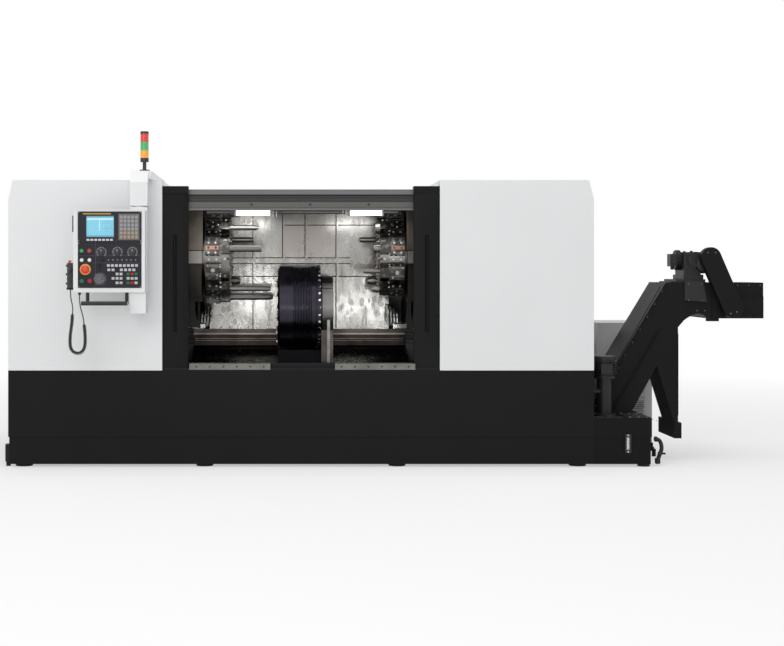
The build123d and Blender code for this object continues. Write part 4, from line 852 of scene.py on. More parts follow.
class LATHE_OT_spindle(LatheOperator):
    """Finishes the headstock, drum, collet, bearings, turrets, tools and bed"""

    bl_idname = "lathe.spindle"
    bl_label = "Spindle and turrets"

    def execute(self, context):
        iron = headstock_paint("headstock_black", (0.008, 0.008, 0.010))
        tool = held_tools("tool_black", (0.070, 0.067, 0.063), (0.14, 0.138, 0.132))
        dress(
            (iron, 0.002, "headstock"), ("blued_drum", 0.001, "spindle_drum"),
            ("ground_steel", 0.0008, "clamping_collet", "spindle_bearings"),
            ("nickel_disc", 0.0012, "left_turret_disc"), (tool, 0.001, "left_turret_tools"),
            ("nickel_disc", 0.0012, "right_turret_disc"), (tool, 0.001, "right_turret_tools"),
            (cast("bed_iron", (0.055, 0.055, 0.055)), 0.003, "bed"),
        )
        for node in ("bed_rails", "conveyor_head_shaft", "conveyor_belt"):
            coat_node(node, "ground_steel")
        coat_node("levelling_feet", paint("feet_black", (0.012, 0.012, 0.013), 0.5, 0.2))
        return {"FINISHED"}


class LATHE_OT_units(LatheOperator):
    """Finishes the pump, gearmotor, gauge, tower, windows and pendant controls"""

    bl_idname = "lathe.units"
    bl_label = "Units and controls"

    def execute(self, context):
        fascia = context.scene.lathe_paint.fascia
        dark = paint("motor_black", (0.016, 0.016, 0.018), 0.45, 0.3, 0.0002)
        dress((dark, 0.001, "coolant_pump"), (dark, 0.0015, "conveyor_gearmotor"))
        coat_node("level_gauge", gauge("level_gauge", (0.78, 0.80, 0.78), (0.02, 0.02, 0.02)))
        for side in ("left", "right"):
            coat_node(side + "_door_window", window_glass("door_glass"))
        dress(("tower_black", 0.0012, "tower_pole"))
        for tone, color in (("red", (0.62, 0.035, 0.02)), ("green", (0.04, 0.40, 0.12)), ("amber", (0.80, 0.36, 0.03))):
            coat_node(f"tower_{tone}_lens", lens("lens_" + tone, color))
        coat_node("display_screen", display("display_screen"))
        dress(
            (keyed_unit("control_unit", fascia), 0.0006, "control_unit"),
            (keyed_panel("operator_panel", fascia), 0.0005, "operator_panel"),
            ("button_green", 0.0008, "start_button"),
            ("button_red", 0.0008, "stop_button"),
            ("stop_red", 0.0008, "emergency_stop"),
            ("dial_black", 0.0006, "spindle_override", "feed_override", "mode_selector"),
            ("wheel_grey", 0.0006, "pulse_handwheel"),
            ("remote_black", 0.0012, "remote_handwheel"),
        )
        return {"FINISHED"}


class LATHE_OT_door_frame(LatheOperator):
    """Adds the header's light rail and holes, the lamp brackets, and the screws of the door sill"""

    bl_idname = "lathe.door_frame"
    bl_label = "Door frame"

    def execute(self, context):
        screw = context.scene.lathe_fittings.screw
        rail, holes, heads, brackets = Batch(), Batch(), Batch(), Batch()
        rail.box((-1.302, FRONT + 0.064, 1.6465), (0.150, FRONT + 0.090, 1.657))
        for x0, x1 in ((-1.296, -0.778), (-0.362, 0.152)):
            rail.box((x0, FRONT + 0.0105, 0.622), (x1, FRONT + 0.0125, 0.6605))
        for x0, x1 in ((-1.193, -1.004), (-0.754, -0.290), (-0.047, 0.056)):
            rail.rod((x0, -0.580, 1.642), RIGHTWARD, 0.015, x1 - x0, 20)
        for x in (-0.898, -0.521, -0.144):
            holes.rod((x, FRONT + 0.058, 1.683), TOWARD, 0.007, 0.0006, 16)
        for x in (*spread(-1.25, -0.82, 6), *spread(-0.32, 0.11, 6)):
            heads.screws([(x, FRONT + 0.0105, 0.642)], TOWARD, screw, 0.003)
        for x in (-0.760, -0.738, -0.305, -0.283):
            brackets.box((x - 0.0015, -0.612, 1.606), (x + 0.0015, -0.552, 1.672))
            brackets.turned((x, -0.606, 1.640), TOWARD, ((0, 0.006), (0.004, 0.006), (0.006, 0.003)), 8)
        for x in (-1.006, -0.049):
            brackets.box((x - 0.001, -0.606, 1.612), (x + 0.003, -0.554, 1.668))
        rail.build("light_rail", "rail_steel", "edge_steel")
        holes.build("header_holes", "rail_steel", "hole_seam_and_shadow_black")
        heads.build("door_frame_screws", "feet_steel", "sill_screw")
        brackets.build("lamp_brackets", "rail_steel", "bright_rail")
        return {"FINISHED"}


class LATHE_OT_wall_sheets(LatheOperator):
    """Adds the wall's seam lines and rivets, painted shadow lines above and below its raised band, the guard over the
    bed with its lip, and the coolant pipes
    """

    bl_idname = "lathe.wall_sheets"
    bl_label = "Wall sheets and pipes"

    def execute(self, context):
        sheets, seam_and_shadow_lines, rivets = Batch(), Batch(), Batch()
        upper, lower, lip, pipes = Batch(), Batch(), Batch(), Batch()
        face = WALL_FACE
        left, right, foot, step, head = -1.204, 0.044, 0.852, 1.342, 1.782
        for x, low in ((-0.904, foot), (-0.697, step), (-0.540, step), (-0.323, foot)):
            seam_and_shadow_lines.box((x - 0.003, face - 0.001, low), (x + 0.003, face, head))
            sheets.box((x + 0.003, face - 0.0025, low), (x + 0.016, face, head))
        # Dark lines across the wall: those at z 1.216 and 1.575 are seams; those at 1.306 and 1.346, above and below
        # the raised band, are painted shadow lines
        for x0, x1, z in ((left, -0.221, 1.306), (left, -0.221, 1.346), (left, right, 1.216), (-0.697, right, 1.575)):
            seam_and_shadow_lines.box((x0, face - 0.0012, z - 0.003), (x1, face, z + 0.003))
        sheets.box((left, face - 0.006, 1.309), (-0.221, face, 1.343))
        for x in (-0.916, -0.545, -0.311):
            rivets.screws([(x, face, z) for z in spread(0.89, 1.76, 12)], TOWARD, 0.0045, 0.002, 8)
        for z in (0.862, 1.226):
            rivets.screws([(x, face, z) for x in spread(-1.19, 0.03, 20)], TOWARD, 0.0045, 0.002, 8)
        for x0, x1 in ((-1.316, -0.732), (-0.356, 0.156)):
            upper.box((x0, 0.119, 0.815), (x1, 0.1245, 0.850))
            lower.box((x0, 0.119, 0.737), (x1, 0.1245, 0.815))
            lower.box((x0, 0.100, 0.772), (x1, 0.119, 0.776))
            for z in (0.768, 0.782):
                lip.box((x0 + 0.01, 0.1165, z), (x1 - 0.01, 0.119, z + 0.002))
            lip.box((x0, 0.094, 0.812), (x1, 0.119, 0.822))
        for side in (-1, 1):
            for i in range(4):
                x = -0.580 + side * 0.640 + side * (i * 0.021 - 0.03)
                top = 1.020 - i * 0.018
                path = ((0.06, top), (0.0, top), (-0.03, top - 0.02), (-0.04, top - 0.07), (-0.04, 0.90))
                pipes.tube(smooth_line([(x, y, z) for y, z in path]), 0.0065, 10)
                pipes.turned((x, -0.04, 0.935), UP, ((0, 0.010), (0.02, 0.010), (0.024, 0.007)), 6)
        sheets.build("wall_strips", "wall_stainless", "washed_stainless")
        # Seam lines and painted shadow lines, built as one piece in near-black
        seam_and_shadow_lines.build("wall_seams_and_shadow_lines", "wall_stainless", "hole_seam_and_shadow_black")
        rivets.build("wall_rivets", "feet_steel", "screw_zinc")
        upper.build("bed_guard", "tray_steel", "guard_brown")
        lower.build("bed_guard_skirt", "tray_steel", "skirt_brown")
        lip.build("bed_guard_lip", "rail_steel", "lip_steel")
        pipes.build("coolant_pipes", "rail_steel", "bright_rail")
        return {"FINISHED"}


def smooth_line(points, steps=6):
    """A line whose corners are eased: each inner corner becomes a quadratic arc between its runs' middles."""
    p = np.asarray(points, dtype=float)
    middle = (p[:-1] + p[1:]) / 2
    t = np.linspace(0, 1, steps)[:, None]
    arcs = [
        (1 - t) ** 2 * before + 2 * t * (1 - t) * corner + t ** 2 * after
        for before, corner, after in zip(middle, p[1:], middle[1:])
    ]
    line = np.concatenate([p[:1]] + arcs + [p[-1:]])
    keep = np.concatenate(((True,), np.linalg.norm(np.diff(line, axis=0), axis=1) > 1e-5))
    return line[keep]


# Stations with a tall holder, as angles from the front of each turret
HELD = {"left": (38, 8, 308, 278, 98, 158, 218), "right": (38, 8, 338, 308, 98, 158, 218)}
# Radius of a tall holder's top, and of the disc's own flats
HOLDER_TOP, DISC_TOP = 0.324, 0.2833
# Screws on a holder's top, as distance from the turret's face, sideways place and radius
PATTERNS = (
    ((0.088, -0.033, 0.008), (0.134, -0.033, 0.008), (0.088, 0.033, 0.008), (0.134, 0.033, 0.008)),
    ((0.080, 0.0, 0.011), (0.110, -0.020, 0.006), (0.110, 0.020, 0.006), (0.140, 0.0, 0.011)),
    ((0.110, 0.0, 0.015), (0.080, -0.034, 0.006), (0.142, 0.034, 0.006)),
)
# Flat bars on a holder's top, each from one sideways place to another
BARS = (((-0.012, 0.012),), ((-0.045, -0.036), (0.036, 0.045)), ((0.030, 0.045), (-0.026, -0.020)))


def around(angle):
    """The directions at a station's angle: outwards from the turret's middle, and sideways."""
    a = radians(angle)
    return np.array((0.0, -cos(a), sin(a))), np.array((0.0, sin(a), cos(a)))


def on_turret(x, angle, radius, across=0.0):
    """A point on a turret: x along the spindle, then radius and sideways distance at a station's angle."""
    out, sideways = around(angle)
    return np.array((x, SPINDLE_Y, TURRET_Z)) + radius * out + across * sideways


class LATHE_OT_turret_fittings(LatheOperator):
    """Adds screws, bars, wedges and coolant nozzles to both turrets"""

    bl_idname = "lathe.turret_fittings"
    bl_label = "Turret fittings"

    def execute(self, context):
        for name, side, face in (("left", -1, -1.051), ("right", 1, -0.050)):
            screws, wedges, bushes, bars = Batch(), Batch(), Batch(), Batch()
            inward = (-side, 0, 0)
            for i in range(12):
                angle = 8 + i * 30
                between = angle + 15
                out, sideways = around(angle)
                top = HOLDER_TOP if angle in HELD[name] else DISC_TOP
                for step, across, size in PATTERNS[i % 3]:
                    screws.bolt(on_turret(face + side * step, angle, top, across), out, size, 0.0036)
                for step in (0.086, 0.132):
                    for sign in (-1, 1):
                        place = on_turret(face + side * step, angle, top - 0.022, sign * 0.046)
                        screws.bolt(place, sign * sideways, 0.0085, 0.005)
                near, far = face + side * 0.068, face + side * 0.153
                for low, high in BARS[i % 3]:
                    corners = ((near, low), (far, low), (far, high), (near, high))
                    (bushes if i % 4 == 0 else bars).loft(
                        [[on_turret(x, angle, r, across) for x, across in corners] for r in (top, top + 0.0030)]
                    )
                for across in (-0.033, 0.033):
                    for r in (0.262, 0.300):
                        place = on_turret(face + side * 0.060, angle, r, across)
                        screws.turned(place, inward, ((-0.004, 0.0065), (0.006, 0.0065), (0.0075, 0.005)), 10)
                for r, across in ((0.176, -0.030), (0.176, 0.030), (0.212, 0.0)):
                    place = on_turret(face, angle, r, across)
                    screws.turned(place, inward, ((-0.002, 0.006), (0.005, 0.006), (0.006, 0.0045)), 10)
                place = on_turret(face + side * 0.012, between, 0.222)
                wedges.turned(place, inward, ((-0.004, 0.017), (0.013, 0.015), (0.015, 0.012)), 16)
                place = on_turret(face + side * 0.002, between, 0.222)
                bushes.turned(place, inward, ((0.0, 0.009), (0.004, 0.010), (0.010, 0.008), (0.018, 0.004)), 12)
                for step, r in ((0.030, 0.235), (0.085, 0.2575), (0.135, 0.2575)):
                    screws.bolt(on_turret(face + side * step, between, r), around(between)[0], 0.009, 0.006)
            for batch, kind, slot, material in (
                (screws, "screws", "disc_steel", "bright_rail"),
                (bars, "bars", "disc_steel", "nickel_disc"),
                (wedges, "wedges", "tool_steel", "tool_black"),
                (bushes, "nozzles", "disc_steel", "bronze_bush"),
            ):
                batch.build(f"{name}_turret_{kind}", slot, material, name + "_turret")
        return {"FINISHED"}


class LATHE_OT_drum_fittings(LatheOperator):
    """Adds the drum's bright ring screws and face screws, and the sheets on the headstock"""

    bl_idname = "lathe.drum_fittings"
    bl_label = "Drum fittings"

    def execute(self, context):
        ring, face, cover, strip = Batch(), Batch(), Batch(), Batch()
        for i in range(36):
            a = 2 * pi * i / 36
            out = np.array((0.0, cos(a), sin(a)))
            centre = np.array((-0.4525, SPINDLE_Y, SPINDLE_Z)) + out * 0.2710
            ring.turned(centre, out, ((0.0, 0.0088), (0.0085, 0.0088), (0.0098, 0.0070)), 12)
        for i in range(12):
            a = 2 * pi * (i + 0.5) / 12
            centre = (-0.7355, SPINDLE_Y + 0.245 * cos(a), SPINDLE_Z + 0.245 * sin(a))
            face.turned(centre, LEFTWARD, ((-0.003, 0.008), (0.005, 0.008), (0.006, 0.006)), 6)
        cover.box((-0.440, -0.4035, 0.47), (-0.362, -0.4002, 0.86))
        strip.box((-0.402, -0.4075, 0.62), (-0.383, -0.4036, 0.930))
        ring.build("drum_ring_screws", "collet_steel", "ring_bright", "spindle")
        face.build("drum_face_screws", "collet_steel", "bright_rail", "spindle")
        cover.build("headstock_cover", "tray_steel", "guard_brown")
        strip.build("headstock_strip", "rail_steel", "strip_steel")
        return {"FINISHED"}


class LATHE_OT_pendant_fittings(LatheOperator):
    """Adds the pendant's dial scales, collars, bezel and case screws, and the portable handwheel's knobs"""

    bl_idname = "lathe.pendant_fittings"
    bl_label = "Pendant fittings"

    def execute(self, context):
        y = PENDANT_FRONT - 0.003
        ticks, collars, amber, rim = Batch(), Batch(), Batch(), Batch()
        heads, knobs, red = Batch(), Batch(), Batch()
        wheel = (-1.838, y, 1.205)
        z = 1.373
        for x in (-1.829, -1.729, -1.635):
            for angle in spread(-135, 135, 16):
                ticks.tick((x, y, z), angle, 0.029, 0.0045, 0.0009)
            collars.turned((x, y, z), TOWARD, ((0.0, 0.0215), (0.0015, 0.0215), (0.002, 0.0205)), 32)
            ticks.box((x - 0.0012, -1.0618, z + 0.004), (x + 0.0012, -1.0608, z + 0.0165))
        collar = ((0.0, 0.0165), (0.004, 0.0165), (0.0055, 0.0150), (0.0055, 0.0120))
        buttons = ((-1.951, 1.380), (-1.903, 1.380), (-1.951, 1.323), (-1.903, 1.323), (-1.951, 1.192), (-1.901, 1.192))
        for x, z in buttons:
            collars.turned((x, y, z), TOWARD, collar, 28)
        amber.turned((-1.929, y, 1.264), TOWARD, ((0.0, 0.0345), (0.0012, 0.0345), (0.0016, 0.0335)), 40)
        collars.turned(wheel, TOWARD, ((0.0, 0.0345), (0.002, 0.0345), (0.003, 0.0330)), 40)
        for angle in spread(0, 350, 36):
            ticks.tick(wheel, angle, 0.0375, 0.002, 0.0006)
        rim.frame(-1.926, -1.747, 1.463, 1.602, PENDANT_FRONT - 0.007, 0.0045, 0.0012)
        for x in (-1.9705, -1.5845):
            for rise, lows in ((0.007, (1.4435, 1.6195)), (0.003, (1.1555, 1.4285))):
                heads.screws([(x, PENDANT_FRONT - rise, z) for z in lows], TOWARD, 0.003, 0.0014)
        knobs.turned((-2.030, -1.029, 1.262), TOWARD, ((0.0, 0.012), (0.010, 0.011), (0.011, 0.009)), 20)
        knobs.turned((-2.030, -1.029, 1.206), TOWARD, ((0.0, 0.0155), (0.006, 0.0155), (0.008, 0.0145)), 28)
        knobs.turned((-2.034, -1.034, 1.210), TOWARD, ((0.0, 0.004), (0.012, 0.0035), (0.014, 0.002)), 12)
        for z in (1.288, 1.234, 1.176):
            knobs.turned((-2.047, -1.002, z), LEFTWARD, ((0.0, 0.007), (0.008, 0.0065), (0.009, 0.005)), 16)
        mushroom = ((0.0, 0.008), (0.006, 0.008), (0.006, 0.012), (0.013, 0.012), (0.016, 0.009))
        red.turned((-2.030, -1.010, 1.305), UP, mushroom, 24)
        for batch, name, slot, material in (
            (ticks, "dial_scales", "gauge_white", "mark_white"),
            (collars, "button_collars", "dial_black", "dial_black"),
            (amber, "stop_collar", "gauge_white", "collar_amber"),
            (rim, "screen_rim", "control_plastic", "dial_black"),
            (heads, "fascia_screws", "feet_steel", "screw_zinc"),
            (knobs, "remote_knobs", "remote_black", "dial_black"),
            (red, "remote_stop", "stop_red", "stop_red"),
        ):
            batch.build(name, slot, material, "pendant")
        return {"FINISHED"}


def incline(x, z):
    """X at height z on the conveyor's upper edge, which rises at 60 degrees, moved by x."""
    return 1.310 + x + (z - 0.314) / np.tan(radians(60))


class LATHE_OT_conveyor_fittings(LatheOperator):
    """Adds the conveyor's bolts and seam strips, the gearmotor's ribs, box and gear case, and the guard's screws"""

    bl_idname = "lathe.conveyor_fittings"
    bl_label = "Conveyor fittings"

    def execute(self, context):
        front, rear = CONVEYOR_FRONT, CONVEYOR_REAR
        bolts, trim, ribs = Batch(), Batch(), Batch()
        for z in spread(0.36, 1.12, 10):
            bolts.screws([(incline(0.034, z), front, z)], TOWARD, 0.0075, 0.012)
        for z in spread(0.40, 0.86, 6):
            bolts.screws([(incline(0.175, z), front, z)], TOWARD, 0.0055, 0.004)
            bolts.screws([(incline(0.034, z), rear, z)], AWAY, 0.0075, 0.006)
        for x, z in ((1.985, 1.060), (2.075, 1.060), (1.985, 1.170), (2.070, 1.170), (2.04, 0.992), (2.09, 0.992)):
            bolts.screws([(x, front - 0.010, z)], TOWARD, 0.006, 0.004)
        for x in spread(2.16, 2.46, 5):
            bolts.screws([(x, front, 1.160)], TOWARD, 0.005, 0.003)
        for x, z in ((2.095, 1.375), (2.145, 1.375), (2.285, 0.985), (2.245, 0.975)):
            bolts.screws([(x, -0.528, z)], TOWARD, 0.006, 0.003)
        bolts.build("conveyor_bolts", "feet_steel", "bolt_dark")
        for low, high, off in ((0.330, 1.150, 0.0), (0.330, 0.86, 0.155)):
            a, b = incline(off, low), incline(off, high)
            corners = ((a, low), (a + 0.006, low), (b + 0.006, high), (b, high))
            trim.loft([[(x, y, z) for x, z in corners] for y in (front - 0.010, front - 0.0135)])
        trim.box((1.955, front - 0.012, 1.045), (2.085, front - 0.0095, 1.051))
        trim.box((1.915, front - 0.004, 0.30), (1.9185, front + 0.0005, 0.84))
        for z in (0.985, 1.085):
            trim.box((2.150, front - 0.0075, z), (2.478, front - 0.0055, z + 0.003))
        trim.build("conveyor_seams", "conveyor_black", "satin_black")
        for i in range(7):
            x = 1.980 + i * 0.014
            ribs.box((x, front + 0.027, 1.248), (x + 0.004, front + 0.031, 1.372))
        ribs.box((1.884, front + 0.075, 1.285), (1.928, front + 0.160, 1.368))
        ribs.turned((1.906, front + 0.075, 1.310), TOWARD, ((0.0, 0.011), (0.016, 0.011), (0.018, 0.008)), 16)
        ribs.turned((1.906, front + 0.117, 1.285), DOWN, ((0.0, 0.012), (0.020, 0.010), (0.022, 0.006)), 16)
        case = ((0.0, 0.062), (0.115, 0.062), (0.135, 0.050), (0.140, 0.030))
        ribs.turned((2.095, front + 0.150, 1.300), TOWARD, case, 32)
        for y in (front + 0.06, front + 0.24):
            ribs.turned((2.02, y, 1.380), UP, ((-0.002, 0.010), (0.006, 0.010), (0.009, 0.006)), 12)
        ribs.build("gearmotor_fittings", "motor_black", "motor_black")
        return {"FINISHED"}


class LATHE_OT_cabinet_fittings(LatheOperator):
    """Adds the cabinet's grille, vents, lock, hinges and cover screws"""

    bl_idname = "lathe.cabinet_fittings"
    bl_label = "Cabinet fittings"

    def execute(self, context):
        holes, plates, heads = Batch(), Batch(), Batch()
        face = CABINET_FACE
        for i in range(7):
            for j in range(16):
                x, z = 1.752 + i * 0.014, 0.098 + j * 0.0155
                holes.rod((x + (j % 2) * 0.004, face, z), TOWARD, 0.0046, 0.0006, 10)
        for i in range(5):
            for j in range(9):
                x, z = 1.626 + i * 0.020, 0.600 + j * 0.0105
                holes.box((x, face - 0.0008, z), (x + 0.015, face, z + 0.0042))
        for j in range(14):
            z = 0.16 + j * 0.040
            holes.box((1.9038, 0.30, z), (1.9046, 0.72, z + 0.010))
            holes.box((1.58, 0.8148, z), (1.84, 0.8156, z + 0.010))
        holes.build("cabinet_vents", "dial_black", "vent_dark")
        plates.pad((1.573, face, 0.50), (0.011, 0.045), 0.006, "y")
        plates.pad((1.573, face - 0.006, 0.512), (0.006, 0.020), 0.008, "y")
        for z in (0.17, 0.77):
            plates.box((1.8450, face - 0.006, z), (1.8580, face, z + 0.055))
        plates.build("cabinet_lock", "dial_black", "dial_black")
        for x in (1.547, 1.850):
            heads.screws([(x, face + 0.0005, z) for z in (0.075, 0.34, 0.61, 0.872)], TOWARD, 0.005, 0.0025)
        heads.build("cabinet_screws", "feet_steel", "screw_zinc")
        return {"FINISHED"}


class LATHE_OT_tank_fittings(LatheOperator):
    """Adds the tank's drain, lids, filler and screws, and the pump's ribs and gland"""

    bl_idname = "lathe.tank_fittings"
    bl_label = "Tank fittings"

    def execute(self, context):
        drain, heads = Batch(), Batch()
        y = -0.70
        path = ((1.700, 0.170), (1.722, 0.171), (1.744, 0.150), (1.750, 0.105), (1.736, 0.070), (1.722, 0.035))
        drain.tube(smooth_line([(x, y, z) for x, z in path]), 0.013, 14)
        drain.turned((1.704, y, 0.170), RIGHTWARD, ((0.0, 0.019), (0.012, 0.019), (0.016, 0.014)), 6)
        drain.turned((1.722, y, 0.046), DOWN, ((0.0, 0.019), (0.030, 0.019), (0.036, 0.014)), 6)
        drain.turned((1.736, y, 0.080), TOWARD, ((0.0, 0.013), (0.022, 0.013), (0.026, 0.009)), 12)
        drain.box((1.716, -0.732, 0.074), (1.766, -0.724, 0.086))
        for x0, x1, y0, y1 in ((1.325, 1.490, -0.775, -0.690), (1.510, 1.660, -0.775, -0.480)):
            drain.box((x0, y0, 0.3135), (x1, y1, 0.3175))
        drain.turned((1.400, -0.732, 0.3175), UP, ((0.0, 0.030), (0.010, 0.030), (0.012, 0.026)), 20)
        for z in spread(0.585, 0.665, 6):
            drain.rod((1.401, -0.587, z), UP, 0.0815, 0.004, 36)
        drain.turned((1.325, -0.610, 0.640), LEFTWARD, ((0.0, 0.012), (0.014, 0.011), (0.016, 0.006)), 12)
        drain.build("tank_fittings", "pump_black", "motor_black")
        heads.screws([(1.512, -0.794, z) for z in (0.098, 0.203)], TOWARD, 0.0065, 0.004)
        for x in spread(1.53, 1.64, 3):
            heads.screws([(x, y, 0.3175) for y in (-0.765, -0.490)], UP, 0.005, 0.003)
        for y in spread(-0.74, 0.03, 9):
            heads.screws([(1.705, y, 0.292)], RIGHTWARD, 0.005, 0.003)
        heads.build("tank_screws", "feet_steel", "screw_zinc")
        return {"FINISHED"}


class LATHE_OT_housing_fittings(LatheOperator):
    """Adds service doors, vents, grips and lifting eyes to the ends and the top of the housings"""

    bl_idname = "lathe.housing_fittings"
    bl_label = "Housing fittings"

    def execute(self, context):
        doors, slots, heads, grips, eyes = Batch(), Batch(), Batch(), Batch(), Batch()
        for end, out in ((LEFT_END, -1), (RIGHT_END, 1)):
            for y in (-0.29, 0.62):
                doors.pad((end, y, 1.16), (0.40, 0.46), out * 0.006, "x", 60.0, 64)
                grips.pad((end + out * 0.006, y + 0.355, 1.16), (0.016, 0.060), out * 0.007, "x")
                for z in (0.78, 1.16, 1.54):
                    heads.rod((end + out * 0.002, y - 0.408, z - 0.03), UP, 0.006, 0.06, 12)
            for z in spread(0.80, 1.04, 9):
                middle = end + out * 0.0058
                slots.box((middle - 0.0006, 0.42, z), (middle + 0.0006, 0.80, z + 0.009))
        for x in (-2.20, -1.68, 0.52, 1.04):
            for y in (-0.55, 0.85):
                eyes.turned((x, y, 1.837), UP, ((0.0, 0.022), (0.003, 0.022), (0.005, 0.014)), 20)
                if y > 0:
                    loop = [(x + 0.020 * cos(a), y, 1.862 + 0.020 * sin(a)) for a in spread(-1.45, 4.59, 20)]
                    eyes.tube(loop, 0.0060, 10)
        for x0, x1 in ((-1.33, -0.64), (-0.52, 0.17)):
            doors.pad(((x0 + x1) / 2, 0.42, 1.790), ((x1 - x0) / 2, 0.50), 0.005, "z", 60.0, 64)
            for x in (x0 + 0.03, x1 - 0.03):
                heads.screws([(x, y, 1.795) for y in spread(-0.04, 0.88, 6)], UP, 0.007, 0.004)
        doors.build("service_doors", "housing_white", "housing_white")
        slots.build("service_door_vents", "dial_black", "vent_dark")
        grips.build("service_door_grips", "dial_black", "dial_black")
        heads.build("service_door_hinges", "feet_steel", "screw_zinc")
        eyes.build("lifting_eyes", "feet_steel", "screw_zinc")
        return {"FINISHED"}


class LATHE_OT_base_fittings(LatheOperator):
    """Adds the base's cover plates and their screws"""

    bl_idname = "lathe.base_fittings"
    bl_label = "Base fittings"

    def execute(self, context):
        plates, heads = Batch(), Batch()
        plates.pad((LEFT_END, 0.15, 0.40), (0.42, 0.14), -0.005, "x", 60.0, 64)
        plates.pad((RIGHT_END, 0.60, 0.42), (0.30, 0.14), 0.005, "x", 60.0, 64)
        for y in spread(-0.24, 0.54, 5):
            heads.screws([(LEFT_END - 0.005, y, z) for z in (0.275, 0.525)], LEFTWARD, 0.007, 0.004)
        for y in spread(0.34, 0.86, 4):
            heads.screws([(RIGHT_END + 0.005, y, z) for z in (0.295, 0.545)], RIGHTWARD, 0.007, 0.004)
        plates.build("base_cover_plates", "machine_black", "satin_black")
        heads.build("base_screws", "feet_steel", "screw_zinc")
        return {"FINISHED"}


class LATHE_OT_cord(LatheOperator):
    """Lays the coiled lead from the pendant to the portable handwheel"""

    bl_idname = "lathe.cord"
    bl_label = "Coiled lead"

    def execute(self, context):
        fittings = context.scene.lathe_fittings
        route = [(x, LEAD_Y, z) for x, z in LEAD_OUT + COIL_LINE[1:] + LEAD_BACK[1:]]
        line = nurbs_points(route)
        step = np.linalg.norm(np.diff(line, axis=0), axis=1)
        along = np.concatenate(((0.0,), np.cumsum(step)))
        start = along[np.argmin(np.linalg.norm(line - route[len(LEAD_OUT) - 1], axis=1))]
        stop = along[np.argmin(np.linalg.norm(line - route[-len(LEAD_BACK)], axis=1))]
        turns = round((stop - start) / fittings.pitch)
        at = spread(0.0, start, 9)[:-1] + spread(start, stop, turns * 14 + 1) + spread(stop, along[-1], 9)[1:]
        middle = np.column_stack([np.interp(at, along, line[:, i]) for i in range(3)])
        run = np.gradient(middle, axis=0)
        run /= np.linalg.norm(run, axis=1)[:, None]
        side = np.cross(run, (0.0, 1.0, 0.0))
        share = np.clip((np.array(at) - start) / (stop - start), 0.0, 1.0)
        ease = np.clip(np.minimum(share, 1 - share) * turns / 1.2, 0.0, 1.0)
        angle = 2 * pi * turns * share
        reach = (fittings.coil * ease)[:, None]
        helix = middle + reach * (np.cos(angle)[:, None] * side + np.sin(angle)[:, None] * (0.0, 1.0, 0.0))
        lead = nurbs_curve("handwheel_lead", helix, fittings.lead / 2)
        coat_mesh(lead.data, "cord_black")
        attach(lead, "pendant")
        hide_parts("remote_lead", "remote_lead_coil")
        length = float(np.linalg.norm(np.diff(nurbs_points(helix, 6), axis=0), axis=1).sum())
        return {"FINISHED"}


def nurbs_curve(name, points, radius, resolution=4):
    """A NURBS curve of order 3 that starts and ends on its first and last control points."""
    data = bpy.data.curves.new(name, "CURVE")
    data.dimensions = "3D"
    spline = data.splines.new("NURBS")
    spline.points.add(len(points) - 1)
    spline.points.foreach_set("co", np.column_stack((points, np.ones(len(points)))).ravel())
    spline.order_u = 3
    spline.use_endpoint_u = True
    data.resolution_u = resolution
    data.bevel_depth = radius
    data.bevel_resolution = 3
    data.use_fill_caps = True
    return placed(name, data)


def nurbs_points(points, resolution=24):
    """Points along the NURBS curve of a row of control points."""
    guide = nurbs_curve("guide", points, 0.0, resolution)
    bpy.context.view_layer.update()
    mesh = bpy.data.meshes.new_from_object(guide)
    line = np.empty(len(mesh.vertices) * 3)
    mesh.vertices.foreach_get("co", line)
    data = guide.data
    bpy.data.objects.remove(guide)
    bpy.data.curves.remove(data)
    bpy.data.meshes.remove(mesh)
    return line.reshape(-1, 3)


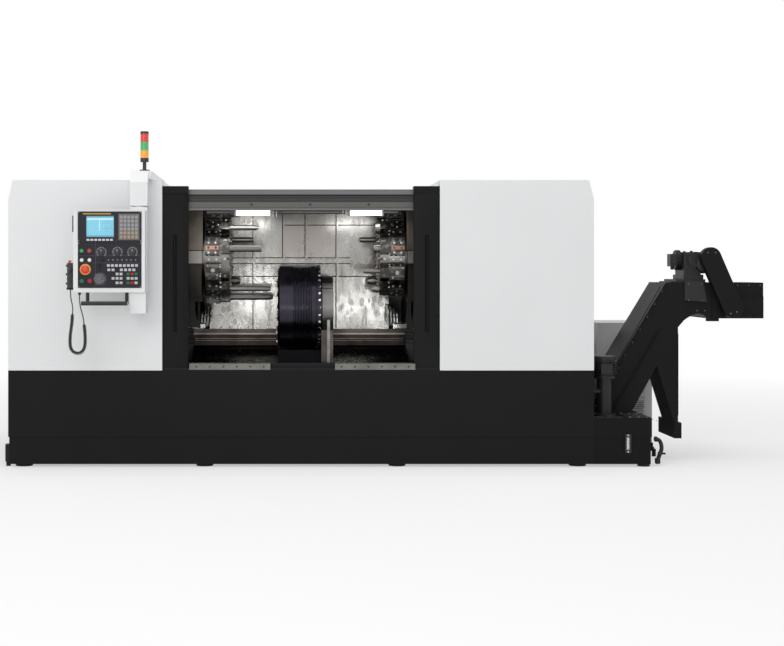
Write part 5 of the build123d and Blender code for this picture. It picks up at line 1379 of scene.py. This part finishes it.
class LATHE_OT_stage(LatheOperator):
    """Sets the pale floor, the soft lamps, the sky and the camera"""

    bl_idname = "lathe.stage"
    bl_label = "Studio"

    def execute(self, context):
        studio = context.scene.lathe_studio
        scene = context.scene
        scene.view_settings.view_transform = "Standard"
        self.floor(studio.ground)
        self.sky(scene, studio.sky)
        self.lamp("key_lamp", (-4.5, -9.0, 5.2), (0.0, 0.0, 1.0), 6.0, 5.0, studio.key)
        self.lamp("top_lamp", (0.0, -1.5, 7.5), (0.0, 0.0, 0.0), 8.0, 6.0, studio.top)
        for x in (-0.935, 0.325):
            self.lamp("front_flash", (x, -8.0, 0.895), (x * 0.8, 0.0, 1.05), 0.38, 0.28, studio.flash, seen=False)
        for x in (-0.95, -0.20):
            self.lamp("work_lamp", (x, -0.50, 1.60), (x, 0.0, 1.0), 0.30, 0.05, studio.inner)
        self.camera(scene)
        return {"FINISHED"}

    def floor(self, color):
        """One large flat square just under the feet, white to the camera where it is far away."""
        made = Finish("floor", color, 0.9, 0.0, 0.1)
        far = made.ramp((made.x * made.x + made.y * made.y) ** 0.5, 3.0, 9.0)
        pale = made.node("ShaderNodeEmission", {}, {"Color": WHITE, "Strength": 1.0})
        made.blend(made.seen() * (0.5 + far * 0.5), pale, "Material Output")
        half, level = 60.0, -0.0005
        corners = [(x * half, y * half, level) for x, y in ((-1, -1), (1, -1), (1, 1), (-1, 1))]
        mesh = bpy.data.meshes.new("floor")
        mesh.from_pydata(corners, [], [(0, 1, 2, 3)])
        mesh.materials.append(made.material)
        placed("floor", mesh)

    def sky(self, scene, strength):
        """Even light from all round, shown as white to the camera, in gloss and through glass."""
        world = bpy.data.worlds.new("studio")
        nodes = Nodes(world, "Background")
        nodes.set("Color", WHITE)
        nodes.set("Strength", strength)
        pale = nodes.node("ShaderNodeBackground", {}, {"Color": WHITE, "Strength": 1.0})
        nodes.blend(nodes.seen(), pale, "World Output")
        scene.world = world

    def lamp(self, name, place, target, wide, high, power, seen=True):
        """A soft rectangular lamp aimed at a point."""
        data = bpy.data.lights.new(name, "AREA")
        data.shape = "RECTANGLE"
        data.size, data.size_y, data.energy = wide, high, power
        lamp = placed(name, data)
        lamp.location = place
        aim = Vector(target) - Vector(place)
        lamp.rotation_euler = aim.to_track_quat("-Z", "Y").to_euler()
        lamp.visible_camera = seen

    def camera(self, scene):
        """Level and square to the front, with the lens shifted as in the photograph."""
        data = bpy.data.cameras.new("camera")
        data.sensor_width = 36.0
        data.lens = LENS
        data.shift_x, data.shift_y = SHIFT_X, SHIFT_Y
        data.clip_end = 500.0
        camera = placed("camera", data)
        camera.location = (EYE_X, FRONT - EYE_DISTANCE, EYE_Z)
        camera.rotation_euler = (pi / 2, 0.0, 0.0)
        scene.camera = camera


class LATHE_PT_panel(bpy.types.Panel):
    """Lists the steps and the settings in the sidebar"""

    bl_label = "Lathe"
    bl_idname = "LATHE_PT_panel"
    bl_space_type = "VIEW_3D"
    bl_region_type = "UI"
    bl_category = "Lathe"

    def draw(self, context):
        for step in STEPS:
            self.layout.operator(step.bl_idname)
        for group in ("lathe_paint", "lathe_fittings", "lathe_studio"):
            settings = getattr(context.scene, group)
            for key in settings.__annotations__:
                self.layout.prop(settings, key)


SETTINGS = (LathePaint, LatheFittings, LatheStudio)
STEPS = (
    LATHE_OT_shell, LATHE_OT_work_area, LATHE_OT_spindle, LATHE_OT_units, LATHE_OT_door_frame,
    LATHE_OT_wall_sheets, LATHE_OT_turret_fittings, LATHE_OT_drum_fittings, LATHE_OT_pendant_fittings,
    LATHE_OT_conveyor_fittings, LATHE_OT_cabinet_fittings, LATHE_OT_tank_fittings,
    LATHE_OT_housing_fittings, LATHE_OT_base_fittings, LATHE_OT_cord, LATHE_OT_stage,
)


def register():
    """Registers the settings, the steps and the panel."""
    for kind in SETTINGS + STEPS + (LATHE_PT_panel,):
        bpy.utils.register_class(kind)
    bpy.types.Scene.lathe_paint = bpy.props.PointerProperty(type=LathePaint)
    bpy.types.Scene.lathe_fittings = bpy.props.PointerProperty(type=LatheFittings)
    bpy.types.Scene.lathe_studio = bpy.props.PointerProperty(type=LatheStudio)


def unregister():
    """Takes the panel, the steps and the settings back."""
    del bpy.types.Scene.lathe_studio, bpy.types.Scene.lathe_fittings, bpy.types.Scene.lathe_paint
    for kind in reversed(SETTINGS + STEPS + (LATHE_PT_panel,)):
        bpy.utils.unregister_class(kind)


def main():
    """Registers everything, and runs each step."""
    register()
    for step in STEPS:
        group, name = step.bl_idname.split(".")
        getattr(getattr(bpy.ops, group), name)()


if __name__ == "__main__":
    main()
